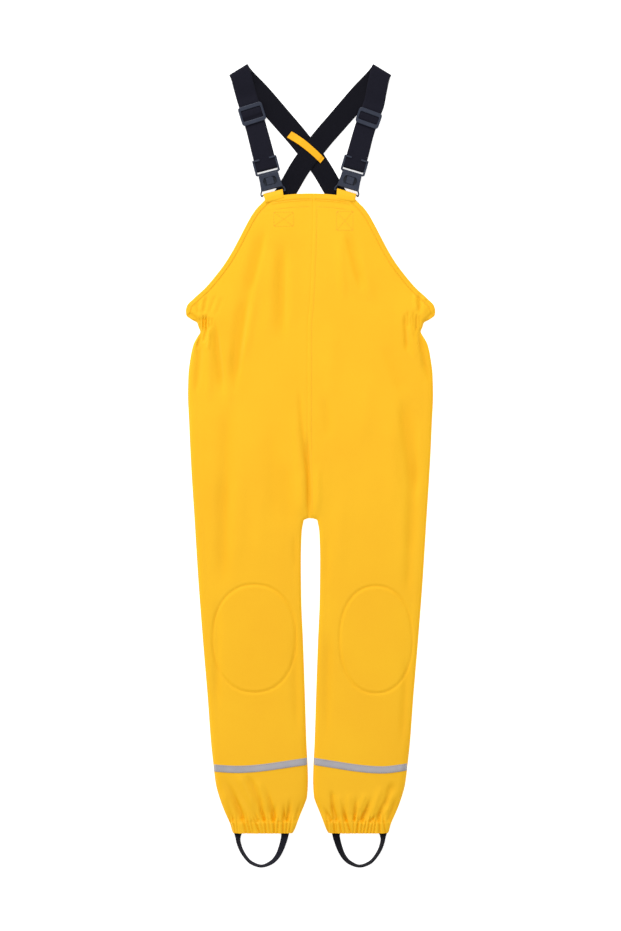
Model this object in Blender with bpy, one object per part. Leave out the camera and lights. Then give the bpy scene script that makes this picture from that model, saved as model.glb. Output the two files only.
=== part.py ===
"""A child's bib-and-brace rain trousers, laid flat on their back with the front side up.

Every table is in millimetres. X runs across the garment, Y from the cuffs to the shoulder folds of
the braces, and Z up from the surface that the garment lies on. The origin is under the middle of
its box. Side -1 is the half with negative X, named left, and side +1 is the right half.
"""

import math
from collections import namedtuple

import bpy
import numpy as np
from mathutils import Vector
from mathutils.geometry import delaunay_2d_cdt

MM = 0.001

# Driving sizes
CLOTH = 1.5
GAP = 0.3
PUFF = 1.7
PUFF_REACH = 16.0
DROOP = 0.22
DROOP_START = 3.0
TOP_ARCH = 4.0
TOP_Y = 326.5
TOP_CORNER_X = 57.0
HEM_Y = -441.0
CASING_Y = -425.5
HEM_EXTRA = 0.6
TOP_HEM_Y = 309.5
ARM_HEM = 6.6
HEM_STEP = 1.6
CUFF_GATHERS = 13
CUFF_RISE = 1.9
CUFF_FADE = 7.0
CUFF_PUFF = 1.0
CUFF_PUFF_REACH = 6.0
CUFF_PUFF_Y = -385.0
WAIST_GATHERS = 4
WAIST_RISE = 2.0
WAIST_Y = 163.5
WAIST_FADE = 13.0
WAIST_INNER = 113.0
WAIST_OUTER = 133.5
KNEE_DIP = 1.0
KNEE_GROOVE = 0.8
KNEE_TO_EDGE = 0.15
BAND_HALF = 4.6
BAND_THICK = 0.6
WEB = 1.4
WEB_HALF = 12.5
FOLD_RADIUS = 2.2
LOOP_RADIUS = 2.0
TAB_CLOTH = 0.8
TAB_HALF = 12.0
FOOT_STRAP = 1.2
FOOT_STRAP_HALF = 5.0
KEEPER_CLOTH = 1.0

BACK_TOP = CLOTH
REAR_Z = WEB / 2
LOOP_BACK_V = -3.0
LOOP_FRONT_V = 3.0
LOOP_END_V = 13.0
REAR_END_V = 9.3
SHOULDER_SHARE = 0.42
SHOULDER_Z = 3.6
ON_BACK_Y = 283.0
BEHIND_BIB_Y = TOP_Y + 12.0
ARMHOLE_STATIONS = 13
HEM_LINE_STEP = 9.0
SEAM_STEP = 16.0
BACK_STEP = 14.0
OUTLINE_STEP = 10.0
FILL_STEP = 17.0
BIB_FILL_STEP = 9.0
BIB_FILL_Y = 240.0

# Outlines: the garment's half width at each height
Station = namedtuple("Station", "y half")
SIDE = [
    Station(322.5, 57.0), Station(315.0, 59.0), Station(309.0, 64.0), Station(299.5, 70.5),
    Station(285.0, 78.5), Station(270.5, 86.0), Station(256.5, 93.5), Station(242.0, 102.5),
    Station(227.5, 113.5), Station(213.0, 126.0), Station(200.0, 140.0), Station(191.5, 148.0),
    Station(185.5, 149.5), Station(180.5, 149.0), Station(174.5, 143.5), Station(167.5, 135.0),
    Station(161.5, 133.5), Station(155.5, 136.0), Station(146.0, 140.0), Station(131.5, 143.5),
    Station(107.5, 146.5), Station(86.0, 147.0), Station(50.0, 145.5), Station(6.5, 143.5),
    Station(-65.5, 139.0), Station(-137.5, 134.5), Station(-209.5, 129.0), Station(-281.5, 123.0),
    Station(-329.5, 119.5), Station(-358.0, 116.5), Station(-382.0, 113.5), Station(-401.5, 108.0),
    Station(-415.5, 102.5), Station(-430.0, 96.0), Station(-437.5, 94.0), Station(-441.0, 90.5),
]
INSEAM = [
    Station(-63.0, 2.0), Station(-65.5, 8.0), Station(-70.0, 9.0), Station(-79.5, 10.5),
    Station(-113.5, 11.5), Station(-161.5, 11.0), Station(-209.5, 9.0), Station(-281.5, 6.5),
    Station(-329.5, 5.0), Station(-377.5, 3.0), Station(-396.5, 4.0), Station(-406.0, 7.0),
    Station(-415.5, 11.0), Station(-425.5, 15.0), Station(-435.0, 18.5), Station(-441.0, 26.0),
]
BACK_ARMHOLE = [
    Station(262.0, 80.0), Station(250.0, 89.0), Station(244.5, 94.0), Station(228.5, 106.5),
    Station(210.5, 124.0), Station(195.0, 142.5), Station(185.5, 148.8),
]
CENTRE_SEAM = [
    Station(326.5, 3.0), Station(312.5, 3.0), Station(198.5, -0.5), Station(162.5, -3.5),
    Station(83.5, -3.5), Station(-63.0, -2.5),
]

# Folds that a step away still shows: depth is negative for a trough
Fold = namedtuple("Fold", "x0 y0 x1 y1 half_width depth")
FOLDS = [
    Fold(-34.0, 272.0, -34.0, 150.0, 7.0, -0.7),
    Fold(-63.0, 250.0, -82.0, 150.0, 8.0, -0.9),
    Fold(-50.0, 262.0, -66.0, 160.0, 7.0, 0.5),
    Fold(-111.0, 172.0, -109.0, 90.0, 5.0, -0.9),
    Fold(-118.0, 166.0, -122.0, 84.0, 5.0, 0.9),
    Fold(-91.0, 146.0, -91.0, 84.0, 6.0, -0.8),
    Fold(-107.0, -14.0, -114.0, -142.0, 9.0, -0.8),
    Fold(-9.5, 80.0, -3.5, -4.0, 5.0, -0.6),
    Fold(-2.6, 2.0, -2.6, -66.0, 3.2, -1.4),
    Fold(110.0, 80.0, 125.5, -16.0, 9.0, -0.7),
    Fold(126.0, 26.0, 126.0, -80.0, 7.0, -0.6),
    Fold(111.0, 176.0, 114.0, 104.0, 4.0, -0.8),
    Fold(130.0, 204.0, 130.5, 168.0, 3.0, -1.3),
    Fold(124.0, 206.0, 124.0, 168.0, 3.0, 0.9),
    Fold(130.0, 158.0, 139.0, 130.0, 3.2, -1.5),
    Fold(123.0, 158.0, 129.0, 118.0, 4.0, 1.2),
    Fold(147.0, 185.0, 131.0, 170.5, 3.2, -1.3),
    Fold(-146.0, 184.0, -131.0, 172.0, 3.0, -0.9),
    Fold(-124.0, 156.0, -128.0, 126.0, 3.2, -1.2),
    Fold(-132.0, 152.0, -136.0, 128.0, 3.0, 0.9),
    Fold(-98.0, -378.0, -77.0, -425.0, 3.4, -1.7),
    Fold(-88.0, -376.0, -68.0, -420.0, 4.2, 1.2),
    Fold(-62.0, -381.0, -41.0, -421.0, 4.0, -1.2),
    Fold(-60.0, -405.0, -53.0, -426.0, 2.4, -1.3),
    Fold(-33.0, -405.0, -33.0, -427.0, 2.2, -1.1),
    Fold(-24.0, -405.0, -26.0, -427.0, 2.2, -1.1),
    Fold(-106.0, -404.0, -91.0, -425.0, 2.8, -1.3),
    Fold(23.0, -396.0, 32.0, -427.0, 2.6, -1.4),
    Fold(37.5, -409.0, 44.5, -427.0, 2.2, -1.0),
    Fold(54.5, -400.0, 53.5, -425.0, 2.6, -1.1),
    Fold(69.5, -402.0, 60.5, -427.0, 2.8, -1.3),
    Fold(93.0, -390.0, 84.0, -425.0, 3.0, -1.2),
    Fold(104.0, -392.0, 96.0, -425.0, 3.2, -1.4),
]

Oval = namedtuple("Oval", "side x y half_x half_y")
KNEES = [Oval(-1, -69.0, -207.0, 50.8, 66.1), Oval(1, 78.5, -207.5, 45.4, 65.6)]

# The reflective bands' middle lines, as the height at three distances from the centre
BandLine = namedtuple("BandLine", "side inner_y dip_x dip_y outer_y")
BANDS = [BandLine(-1, -354.3, 88.0, -363.6, -362.3), BandLine(1, -354.3, 86.0, -364.2, -361.0)]

# One brace: where each piece on it lies, and how far it leans from upright, in degrees.
# Places are given for side +1, with the X of side -1 turned round.
BraceSide = namedtuple(
    "BraceSide",
    "side fold_x fold_y fold_lean slider_x slider_y slider_lean buckle_x buckle_y buckle_lean "
    "tab_x tab_y lift",
)
BRACES = [
    BraceSide(-1, 86.0, 474.3, 31.6, 68.8, 424.3, 17.5, 53.4, 368.2, 15.0, 33.8, 286.0, 0.0),
    BraceSide(1, 86.3, 474.3, 31.4, 69.8, 417.5, 20.0, 55.0, 368.4, 16.5, 41.0, 283.0, 1.7),
]

# A brace behind the bib and over the crossing: distance across is towards the brace's own fold,
# and rise is 1 where the upper brace lies on the lower one
BackRow = namedtuple("BackRow", "across y rise on_back")
BRACE_BACK = [
    BackRow(-80.0, 246.0, 0.0, 1.0), BackRow(-66.0, 269.0, 0.0, 1.0),
    BackRow(-58.5, 281.5, 0.0, 0.0), BackRow(-40.0, 312.0, 0.0, 0.0),
    BackRow(-26.5, 334.0, 0.0, 0.0), BackRow(-14.0, 354.5, 1.0, 0.0),
    BackRow(-4.5, 368.5, 1.0, 0.0), BackRow(4.0, 379.0, 1.0, 0.0),
    BackRow(17.0, 394.0, 1.0, 0.0), BackRow(33.0, 412.5, 0.0, 0.0),
    BackRow(60.0, 444.0, 0.0, 0.0),
]

# A foot strap seen from above, for side +1, with its turn from flat in degrees
StrapRow = namedtuple("StrapRow", "x y turn")
FOOT_STRAP_ROWS = [
    StrapRow(30.5, -431.0, 0.0), StrapRow(30.6, -441.5, 0.0), StrapRow(32.0, -448.0, 30.0),
    StrapRow(34.5, -457.0, 42.0), StrapRow(39.5, -467.5, 55.0), StrapRow(47.0, -475.5, 68.0),
    StrapRow(59.5, -479.6, 80.0), StrapRow(70.5, -475.0, 70.0), StrapRow(79.5, -464.5, 62.0),
    StrapRow(84.0, -455.0, 55.0), StrapRow(86.3, -447.0, 40.0), StrapRow(86.8, -441.5, 0.0),
    StrapRow(86.8, -431.0, 0.0),
]

# The keeper over the crossing, measured along it from its upper end
KeeperRow = namedtuple("KeeperRow", "along z half_width bow")
KEEPER_START = (-25.0, 397.5)
KEEPER_END = (13.2, 367.6)
KEEPER_ROWS = [
    KeeperRow(0.0, 2.2, 4.7, 0.0), KeeperRow(9.0, 2.25, 4.7, 0.7), KeeperRow(16.5, 3.9, 4.6, 1.1),
    KeeperRow(31.0, 3.95, 4.4, 0.9), KeeperRow(47.6, 3.9, 4.0, 0.2), KeeperRow(49.8, 2.3, 3.9, 0.0),
    KeeperRow(52.5, 2.2, 3.9, 0.0),
]

# Plastic pieces, as boxes across (u), along (v, down the brace) and up (z) of their own places
Block = namedtuple("Block", "u0 u1 v0 v1 z0 z1")
SLIDER_HALF = 15.0
SLIDER_LENGTH = 18.5
SLIDER_RAIL = 2.1
SliderRow = namedtuple("SliderRow", "v low high")
SLIDER_ROWS = [
    SliderRow(0.0, 3.4, 5.3), SliderRow(3.6, 3.4, 5.3), SliderRow(7.2, 1.7, 3.0),
    SliderRow(11.3, 1.7, 3.0), SliderRow(14.9, 3.4, 5.3), SliderRow(18.5, 3.4, 5.3),
]
SLIDER_SLOTS = (1, 3)

# Where the brace's upper layer goes through the slider
SliderPass = namedtuple("SliderPass", "v z")
SLIDER_PASS = [
    SliderPass(-9.0, 1.2), SliderPass(-2.0, 2.1), SliderPass(3.3, 2.3), SliderPass(6.9, 4.0),
    SliderPass(11.6, 4.0), SliderPass(14.6, 2.4), SliderPass(20.0, 2.4),
]
FRAME_BLOCKS = [
    Block(-14.5, -12.9, 0.0, 17.4, 1.7, 6.2), Block(12.9, 14.5, 0.0, 17.4, 1.7, 6.2),
    Block(-13.7, 13.7, 4.4, 10.3, 1.7, 3.7), Block(-14.0, 14.0, 15.6, 18.4, 2.2, 6.4),
    Block(-13.9, -5.6, 0.1, 1.9, 5.7, 6.6), Block(5.6, 13.9, 0.1, 1.9, 5.7, 6.6),
    Block(-12.0, 12.0, 17.6, 26.0, 1.8, 7.4), Block(-12.9, 12.9, 24.6, 31.4, 1.8, 7.4),
]
FRAME_CUTS = [Block(-9.2, 9.2, 20.4, 33.0, 2.9, 5.8), Block(-6.6, 6.6, 20.6, 28.6, 5.4, 9.0)]
TONGUE_BLOCKS = [
    Block(-8.8, 8.8, 21.0, 32.8, 3.2, 5.4), Block(-5.3, 5.3, 21.2, 28.1, 4.9, 7.1),
    Block(-13.8, 13.8, 31.8, 33.0, 2.6, 6.0), Block(-14.4, -12.7, 32.0, 37.6, 2.6, 6.0),
    Block(12.7, 14.4, 32.0, 37.6, 2.6, 6.0), Block(-13.4, 13.4, 35.1, 36.7, 3.0, 4.8),
]
TAB_BAR_V = 35.9
TAB_BAR_Z = 3.9
TAB_BIB_SHARE = 0.86
TAB_RADIUS = 1.9

Finish = namedtuple("Finish", "name colour roughness metallic")
RAIN_CLOTH = Finish("rain_cloth", (0.96, 0.545, 0.026), 0.5, 0.0)
KNEE_CLOTH = Finish("knee_cloth", (0.95, 0.535, 0.026), 0.5, 0.0)
REFLECTIVE = Finish("reflective_tape", (0.38, 0.36, 0.38), 0.35, 0.2)
ELASTIC = Finish("elastic_web", (0.015, 0.0145, 0.023), 0.8, 0.0)
FOOT_ELASTIC = Finish("foot_elastic", (0.012, 0.012, 0.021), 0.8, 0.0)
PLASTIC = Finish("buckle_plastic", (0.038, 0.05, 0.091), 0.35, 0.0)


def side_name(side):
    return "left" if side < 0 else "right"


def clear_scene():
    for item in list(bpy.data.objects):
        bpy.data.objects.remove(item)


def material(finish):
    made = bpy.data.materials.new(finish.name)
    made.use_nodes = True
    shader = made.node_tree.nodes["Principled BSDF"]
    shader.inputs["Base Color"].default_value = (*finish.colour, 1.0)
    shader.inputs["Roughness"].default_value = finish.roughness
    shader.inputs["Metallic"].default_value = finish.metallic
    return made


def add_object(name, points, faces, finish):
    mesh = bpy.data.meshes.new(name)
    mesh.from_pydata([tuple(float(c) * MM for c in p) for p in points], [], faces)
    mesh.materials.append(material(finish))
    made = bpy.data.objects.new(name, mesh)
    bpy.context.collection.objects.link(made)
    mesh.shade_smooth()
    mesh.set_sharp_from_angle(angle=math.radians(38))
    return made


# Curves and distances


def half_width(stations, y):
    """The half width at each height y, on a smooth curve through the stations that never overshoots."""
    rows = sorted(stations)
    ys = np.array([row.y for row in rows])
    xs = np.array([row.half for row in rows])
    run = np.diff(ys)
    rise = np.diff(xs) / run
    slope = np.zeros(len(ys))
    slope[[0, -1]] = rise[[0, -1]]
    for i in range(1, len(ys) - 1):
        if rise[i - 1] * rise[i] > 0:
            slope[i] = 2 * rise[i - 1] * rise[i] / (rise[i - 1] + rise[i])
    y = np.clip(np.asarray(y, float), ys[0], ys[-1])
    i = np.clip(np.searchsorted(ys, y) - 1, 0, len(run) - 1)
    t = (y - ys[i]) / run[i]
    start = (1 + 2 * t) * (1 - t) ** 2 * xs[i] + t * (1 - t) ** 2 * run[i] * slope[i]
    end = t**2 * (3 - 2 * t) * xs[i + 1] + t**2 * (t - 1) * run[i] * slope[i + 1]
    return start + end


def edge(stations, step=OUTLINE_STEP):
    """Points (half width, y) down a row of stations, with one at each station."""
    found = []
    for upper, lower in zip(stations, stations[1:]):
        length = math.hypot(upper.y - lower.y, upper.half - lower.half)
        pieces = max(1, math.ceil(length / step))
        for k in range(pieces):
            y = upper.y + (lower.y - upper.y) * k / pieces
            found.append((float(half_width(stations, y)), y))
    found.append((stations[-1].half, stations[-1].y))
    return found


def segment_distance(points, start, end):
    start, along = np.array(start, float), np.array(end, float) - np.array(start, float)
    t = np.clip((points - start) @ along / max(along @ along, 1e-9), 0, 1)
    return np.linalg.norm(points - start - t[:, None] * along, axis=1)


def line_distance(points, line):
    return np.min([segment_distance(points, a, b) for a, b in zip(line, line[1:])], axis=0)


def outside_distance(points, polygon):
    """How far each point lies outside a closed polygon, 0 inside it."""
    closed = list(polygon) + [polygon[0]]
    inside = np.zeros(len(points), bool)
    for (x0, y0), (x1, y1) in zip(closed, closed[1:]):
        if y0 != y1:
            crosses = (points[:, 1] < max(y0, y1)) & (points[:, 1] >= min(y0, y1))
            at = x0 + (points[:, 1] - y0) * (x1 - x0) / (y1 - y0)
            inside ^= crosses & (points[:, 0] < at)
    return np.where(inside, 0.0, line_distance(points, closed))


def smooth_step(value, start, end):
    t = np.clip((value - start) / (end - start), 0, 1)
    return t * t * (3 - 2 * t)


# Outlines of the panels


def seam_line(side, offset):
    """The centre-front seam from the crotch up, moved to its own side by half the seam's gap."""
    rows = edge(CENTRE_SEAM, SEAM_STEP)[::-1]
    return [(x + side * offset, y) for x, y in rows]


def hem_line(side):
    """The cuff's bottom edge, from the outer corner to the inner one."""
    count = 4 * CUFF_GATHERS
    outer, inner = SIDE[-1].half, INSEAM[-1].half
    return [(side * (outer + (inner - outer) * k / count), HEM_Y) for k in range(1, count)]


def top_y(x):
    return TOP_Y - TOP_ARCH * (x / TOP_CORNER_X) ** 2


def front_outline(side):
    seam = seam_line(side, GAP / 2)
    start = seam[-1][0]
    corner = side * TOP_CORNER_X
    count = 6
    top = [start + (corner - start) * k / count for k in range(1, count)]
    outline = seam[:-1] + [(start, top_y(start))] + [(x, top_y(x)) for x in top]
    outline += [(side * x, y) for x, y in edge(SIDE)]
    outline += hem_line(side)
    outline += [(side * x, y) for x, y in edge(INSEAM)[::-1][:-1]]
    outline[0] = (outline[0][0], INSEAM[0].y)
    return outline


def back_outline(side):
    below = [row for row in SIDE if row.y < BACK_ARMHOLE[-1].y]
    rows = edge(BACK_ARMHOLE, BACK_STEP)[:-1] + edge([BACK_ARMHOLE[-1]] + below, BACK_STEP)
    outline = [(side * GAP / 2, INSEAM[0].y), (side * GAP / 2, BACK_ARMHOLE[0].y)]
    outline += [(side * x, y) for x, y in rows]
    outline += [(side * x, y) for x, y in edge(INSEAM, BACK_STEP)[::-1]]
    return outline


# Heights of the front


def lean_axes(side, lean):
    """Across and down directions of something that leans by so many degrees, for its side."""
    angle = math.radians(lean)
    across = np.array([math.cos(angle), -side * math.sin(angle)])
    down = np.array([-side * math.sin(angle), -math.cos(angle)])
    return across, down


def strip_polygon(line, half):
    """The outline of a strip of that half width along a line of points."""
    line = np.array(line, float)
    ahead = np.gradient(line, axis=0)
    ahead /= np.linalg.norm(ahead, axis=1)[:, None]
    across = np.stack([-ahead[:, 1], ahead[:, 0]], axis=1) * half
    return [tuple(p) for p in line + across] + [tuple(p) for p in (line - across)[::-1]]


def tab_line(brace):
    """The middle line of a tab, from its sewn end to the buckle's bar."""
    bar = local_place(brace.buckle_x, brace.buckle_y, brace.side, brace.buckle_lean, 0, TAB_BAR_V)
    sewn = np.array([brace.side * brace.tab_x, brace.tab_y])
    return [tuple(sewn), tuple(bar)]


Layer = namedtuple("Layer", "polygon top")


def lower_layers():
    """What the front lies on: each layer's outline and the height of its upper face."""
    layers = [Layer(back_outline(side), BACK_TOP) for side in (-1, 1)]
    for brace in BRACES:
        rows = [row for row in BRACE_BACK if row.y < BEHIND_BIB_Y]
        on_back = [(brace.side * row.across, row.y) for row in rows if row.y < ON_BACK_Y]
        line = [(brace.side * row.across, row.y) for row in rows]
        layers.append(Layer(strip_polygon(line, WEB_HALF), WEB))
        layers.append(Layer(strip_polygon(on_back, WEB_HALF), BACK_TOP + GAP + WEB))
        layers.append(Layer(strip_polygon(tab_line(brace), TAB_HALF), tab_top()))
        for rows_in in (FOOT_STRAP_ROWS[:3], FOOT_STRAP_ROWS[-3:]):
            line = [(brace.side * row.x, row.y) for row in rows_in]
            top = BACK_TOP + GAP + FOOT_STRAP
            layers.append(Layer(strip_polygon(line, FOOT_STRAP_HALF), top))
    return layers


def tab_low():
    return WEB + GAP + TAB_CLOTH / 2


def tab_top():
    return tab_low() + TAB_CLOTH * 1.5 + GAP


def fold_height(points, fold):
    start, end = np.array([fold.x0, fold.y0]), np.array([fold.x1, fold.y1])
    length = np.linalg.norm(end - start)
    along = (points - start) @ (end - start) / length**2
    off = np.abs(np.cross((end - start) / length, points - start))
    taper = smooth_step(along, 0.0, 0.3) * (1 - smooth_step(along, 0.75, 1.0))
    return fold.depth * np.exp(-((off / fold.half_width) ** 2)) * taper


def cuff_share(points):
    """How far across the cuff each point lies, from 0 at the inseam to 1 at the side seam."""
    inner = half_width(INSEAM, points[:, 1])
    outer = half_width(SIDE, points[:, 1])
    return (np.abs(points[:, 0]) - inner) / (outer - inner)


def cuff_gathers(points):
    share = cuff_share(points)
    uneven = 0.72 + 0.28 * np.sin(share * 23.0 + 1.5 * np.sign(points[:, 0]))
    fade = np.exp(-((np.maximum(points[:, 1] - CASING_Y, 0) / CUFF_FADE) ** 2))
    ends = smooth_step(share, 0.0, 0.04) * (1 - smooth_step(share, 0.96, 1.0))
    wave = 0.5 - 0.5 * np.cos(2 * math.pi * CUFF_GATHERS * share)
    return np.where(points[:, 1] < 0, CUFF_RISE * wave * uneven * fade * ends, 0.0)


def waist_gathers(points):
    share = (np.abs(points[:, 0]) - WAIST_INNER) / (WAIST_OUTER - WAIST_INNER)
    reach = smooth_step(share, -0.15, 0.25) * (1 - smooth_step(share, 0.92, 1.05))
    fade = np.exp(-(((points[:, 1] - WAIST_Y) / WAIST_FADE) ** 2))
    wave = 0.5 - 0.5 * np.cos(2 * math.pi * WAIST_GATHERS * share)
    return WAIST_RISE * wave * reach * fade


class FrontShape:
    """The heights of the front's lower and upper faces over any point."""

    def __init__(self):
        self.layers = lower_layers()
        self.sides = [[(side * x, y) for x, y in edge(rows)] for side in (-1, 1) for rows in (SIDE, INSEAM)]
        armhole = edge(SIDE[:ARMHOLE_STATIONS])
        self.armholes = [[(side * x, y) for x, y in armhole] for side in (-1, 1)]

    def support(self, points):
        held = np.full(len(points), GAP)
        for layer in self.layers:
            far = np.maximum(outside_distance(points, layer.polygon) - DROOP_START, 0)
            held = np.maximum(held, layer.top + GAP - DROOP * far)
        return held

    def knee_dip(self, points):
        dip = np.zeros(len(points))
        for knee in KNEES:
            off = oval_offset(points, knee)
            dip = np.maximum(dip, KNEE_DIP * (1 - smooth_step(off, 0.0, KNEE_GROOVE)))
        return dip

    def low(self, points):
        held = self.support(points)
        from_side = np.min([line_distance(points, line) for line in self.sides], axis=0)
        full = PUFF * (1 - np.exp(-from_side / PUFF_REACH))
        above_cuff = 1 - smooth_step(points[:, 1], CASING_Y, CUFF_PUFF_Y)
        full += CUFF_PUFF * above_cuff * (1 - np.exp(-from_side / CUFF_PUFF_REACH))
        full += cuff_gathers(points) + waist_gathers(points)
        full += sum(fold_height(points, fold) for fold in FOLDS)
        full -= self.knee_dip(points)
        return held + np.maximum(full, 0.0)

    def wall(self, points):
        cuff = 1 - smooth_step(points[:, 1], CASING_Y, CASING_Y + HEM_STEP)
        top = smooth_step(points[:, 1], TOP_HEM_Y - HEM_STEP, TOP_HEM_Y)
        from_arm = np.min([line_distance(points, line) for line in self.armholes], axis=0)
        arm = 1 - smooth_step(from_arm, ARM_HEM, ARM_HEM + HEM_STEP)
        return CLOTH + HEM_EXTRA * np.maximum(np.maximum(cuff, top), arm)

    def faces(self, points):
        """(lower, upper) heights, with the wall's thickness kept square to its slope."""
        small = 0.4
        low = self.low(points)
        slope_x = (self.low(points + [small, 0]) - low) / small
        slope_y = (self.low(points + [0, small]) - low) / small
        steep = np.sqrt(1 + np.minimum(slope_x**2 + slope_y**2, 1.2))
        return low, low + self.wall(points) * steep


# Flat-laid pieces: a triangulated outline with a lower and an upper height at each point


def oval_offset(points, oval, grow=0.0):
    """Roughly how far each point lies outside the oval, less than 0 inside."""
    x = (points[:, 0] - oval.x) / (oval.half_x + grow)
    y = (points[:, 1] - oval.y) / (oval.half_y + grow)
    radius = np.hypot(x, y)
    return (radius - 1) * (min(oval.half_x, oval.half_y) + grow)


def oval_ring(oval, grow, count=44):
    angles = [2 * math.pi * k / count for k in range(count)]
    return [
        (oval.x + (oval.half_x + grow) * math.cos(a), oval.y + (oval.half_y + grow) * math.sin(a))
        for a in angles
    ]


class Spots:
    """Points for the inside of a panel, each kept only where it is clear of those before it."""

    def __init__(self, outline, lines):
        self.outline = outline
        self.lines = lines
        fixed = list(outline) + [p for line in lines for p in line]
        self.kept = np.array(fixed, float)
        self.free = []

    def add(self, candidates, clear):
        points = np.array(candidates, float)
        closed = list(self.outline) + [self.outline[0]]
        inside = outside_distance(points, self.outline) == 0
        points = points[inside & (line_distance(points, closed) > 0.8 * clear)]
        for point in points:
            if np.min(np.linalg.norm(self.kept - point, axis=1)) > clear:
                self.kept = np.vstack([self.kept, point])
                self.free.append(tuple(point))


def triangulated(outline, lines, free):
    """(points, triangles) of an outline, held to the lines and through the free points."""
    points, edges = [], []
    for path, closed in [(outline, True)] + [(line, line[0] == line[-1]) for line in lines]:
        path = path[:-1] if closed and path[0] == path[-1] else path
        first = len(points)
        points += path
        count = len(path)
        edges += [(first + k, first + (k + 1) % count) for k in range(count if closed else count - 1)]
    points += free
    found = delaunay_2d_cdt([Vector(p) for p in points], edges, [], 1, 1e-5)
    return np.array([tuple(v) for v in found[0]]), [tuple(face) for face in found[2]]


def slab(name, points, triangles, low, high, finish):
    """A closed solid between two heights over the same triangles."""
    used = sorted({corner for triangle in triangles for corner in triangle})
    place = {corner: k for k, corner in enumerate(used)}
    count = len(used)
    solid = [(*points[c], low[c]) for c in used] + [(*points[c], high[c]) for c in used]
    faces, sides = [], {}
    for triangle in triangles:
        a, b, c = (place[corner] for corner in triangle)
        area = np.cross(points[used[b]] - points[used[a]], points[used[c]] - points[used[a]])
        if area < 0:
            b, c = c, b
        faces.append((a + count, b + count, c + count))
        faces.append((a, c, b))
        for start, end in ((a, b), (b, c), (c, a)):
            if (end, start) in sides:
                del sides[(end, start)]
            else:
                sides[(start, end)] = True
    for start, end in sides:
        faces.append((start, end, end + count, start + count))
    return add_object(name, solid, faces, finish)


def fold_spots(fold):
    """Points along a fold and beside it, so that the mesh bends where the cloth does."""
    start, end = np.array([fold.x0, fold.y0]), np.array([fold.x1, fold.y1])
    ahead = (end - start) / np.linalg.norm(end - start)
    across = np.array([-ahead[1], ahead[0]])
    count = max(3, round(np.linalg.norm(end - start) / max(7.0, 2.0 * fold.half_width)))
    offsets = (0.0, -0.8, 0.8, -1.7, 1.7)
    return [
        start + (end - start) * k / count + across * offset * fold.half_width
        for offset in offsets
        for k in range(count + 1)
    ]


def cuff_spots(side):
    found = []
    for y, steps in ((-433.0, 52), (-418.5, 52), (-411.0, 26)):
        inner, outer = float(half_width(INSEAM, y)), float(half_width(SIDE, y))
        found += [(side * (inner + (outer - inner) * k / steps), y) for k in range(1, steps)]
    return found


def casing_line(side):
    inner, outer = float(half_width(INSEAM, CASING_Y)), float(half_width(SIDE, CASING_Y))
    steps = 4 * CUFF_GATHERS
    return [(side * (inner + (outer - inner) * k / steps), CASING_Y) for k in range(1, steps)]


def waist_spots(side):
    steps = 4 * WAIST_GATHERS
    width = WAIST_OUTER - WAIST_INNER
    return [
        (side * (WAIST_INNER + width * k / steps), WAIST_Y + y)
        for y in (-24.0, -16.0, -8.0, 0.0, 8.0, 16.0)
        for k in range(-1, steps + 1)
    ]


def band_y(band, x):
    """The height of a band's middle line at a distance from the centre."""
    inner = half_width(INSEAM, band.inner_y)
    outer = half_width(SIDE, band.outer_y)
    rows = [Station(inner, band.inner_y), Station(band.dip_x, band.dip_y), Station(outer, band.outer_y)]
    return float(half_width([Station(row.y, row.half) for row in rows], x))


def band_edge(band, offset, count=8):
    """One long edge of a band, ended on the panel's own edges."""
    inner = float(half_width(INSEAM, band.inner_y + offset)) + 0.4
    outer = float(half_width(SIDE, band.outer_y + offset)) - 0.4
    xs = [inner + (outer - inner) * k / count for k in range(count + 1)]
    return [(band.side * x, band_y(band, x) + offset) for x in xs]


def arm_hem_line(side, inset):
    rows = np.array([(side * x, y) for x, y in edge(SIDE[:ARMHOLE_STATIONS], HEM_LINE_STEP)])
    ahead = np.gradient(rows, axis=0)
    ahead /= np.linalg.norm(ahead, axis=1)[:, None]
    inward = np.stack([-ahead[:, 1], ahead[:, 0]], axis=1) * -side
    return [tuple(p) for p in (rows + inward * inset)[1:-1]]


def top_hem_line(side, y):
    return [(side * x, y) for x in (8.0, 18.0, 28.0, 38.0, 48.0)]


def fill_spots(outline, step):
    xs, ys = [p[0] for p in outline], [p[1] for p in outline]
    found, row, y = [], 0, min(ys)
    while y < max(ys):
        x = min(xs) + (step / 2 if row % 2 else 0)
        while x < max(xs):
            found.append((x, y))
            x += step
        y += step * math.sqrt(3) / 2
        row += 1
    return found


def band_middle(band, points):
    return np.array([band_y(band, abs(x)) for x in points[:, 0]])


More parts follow.
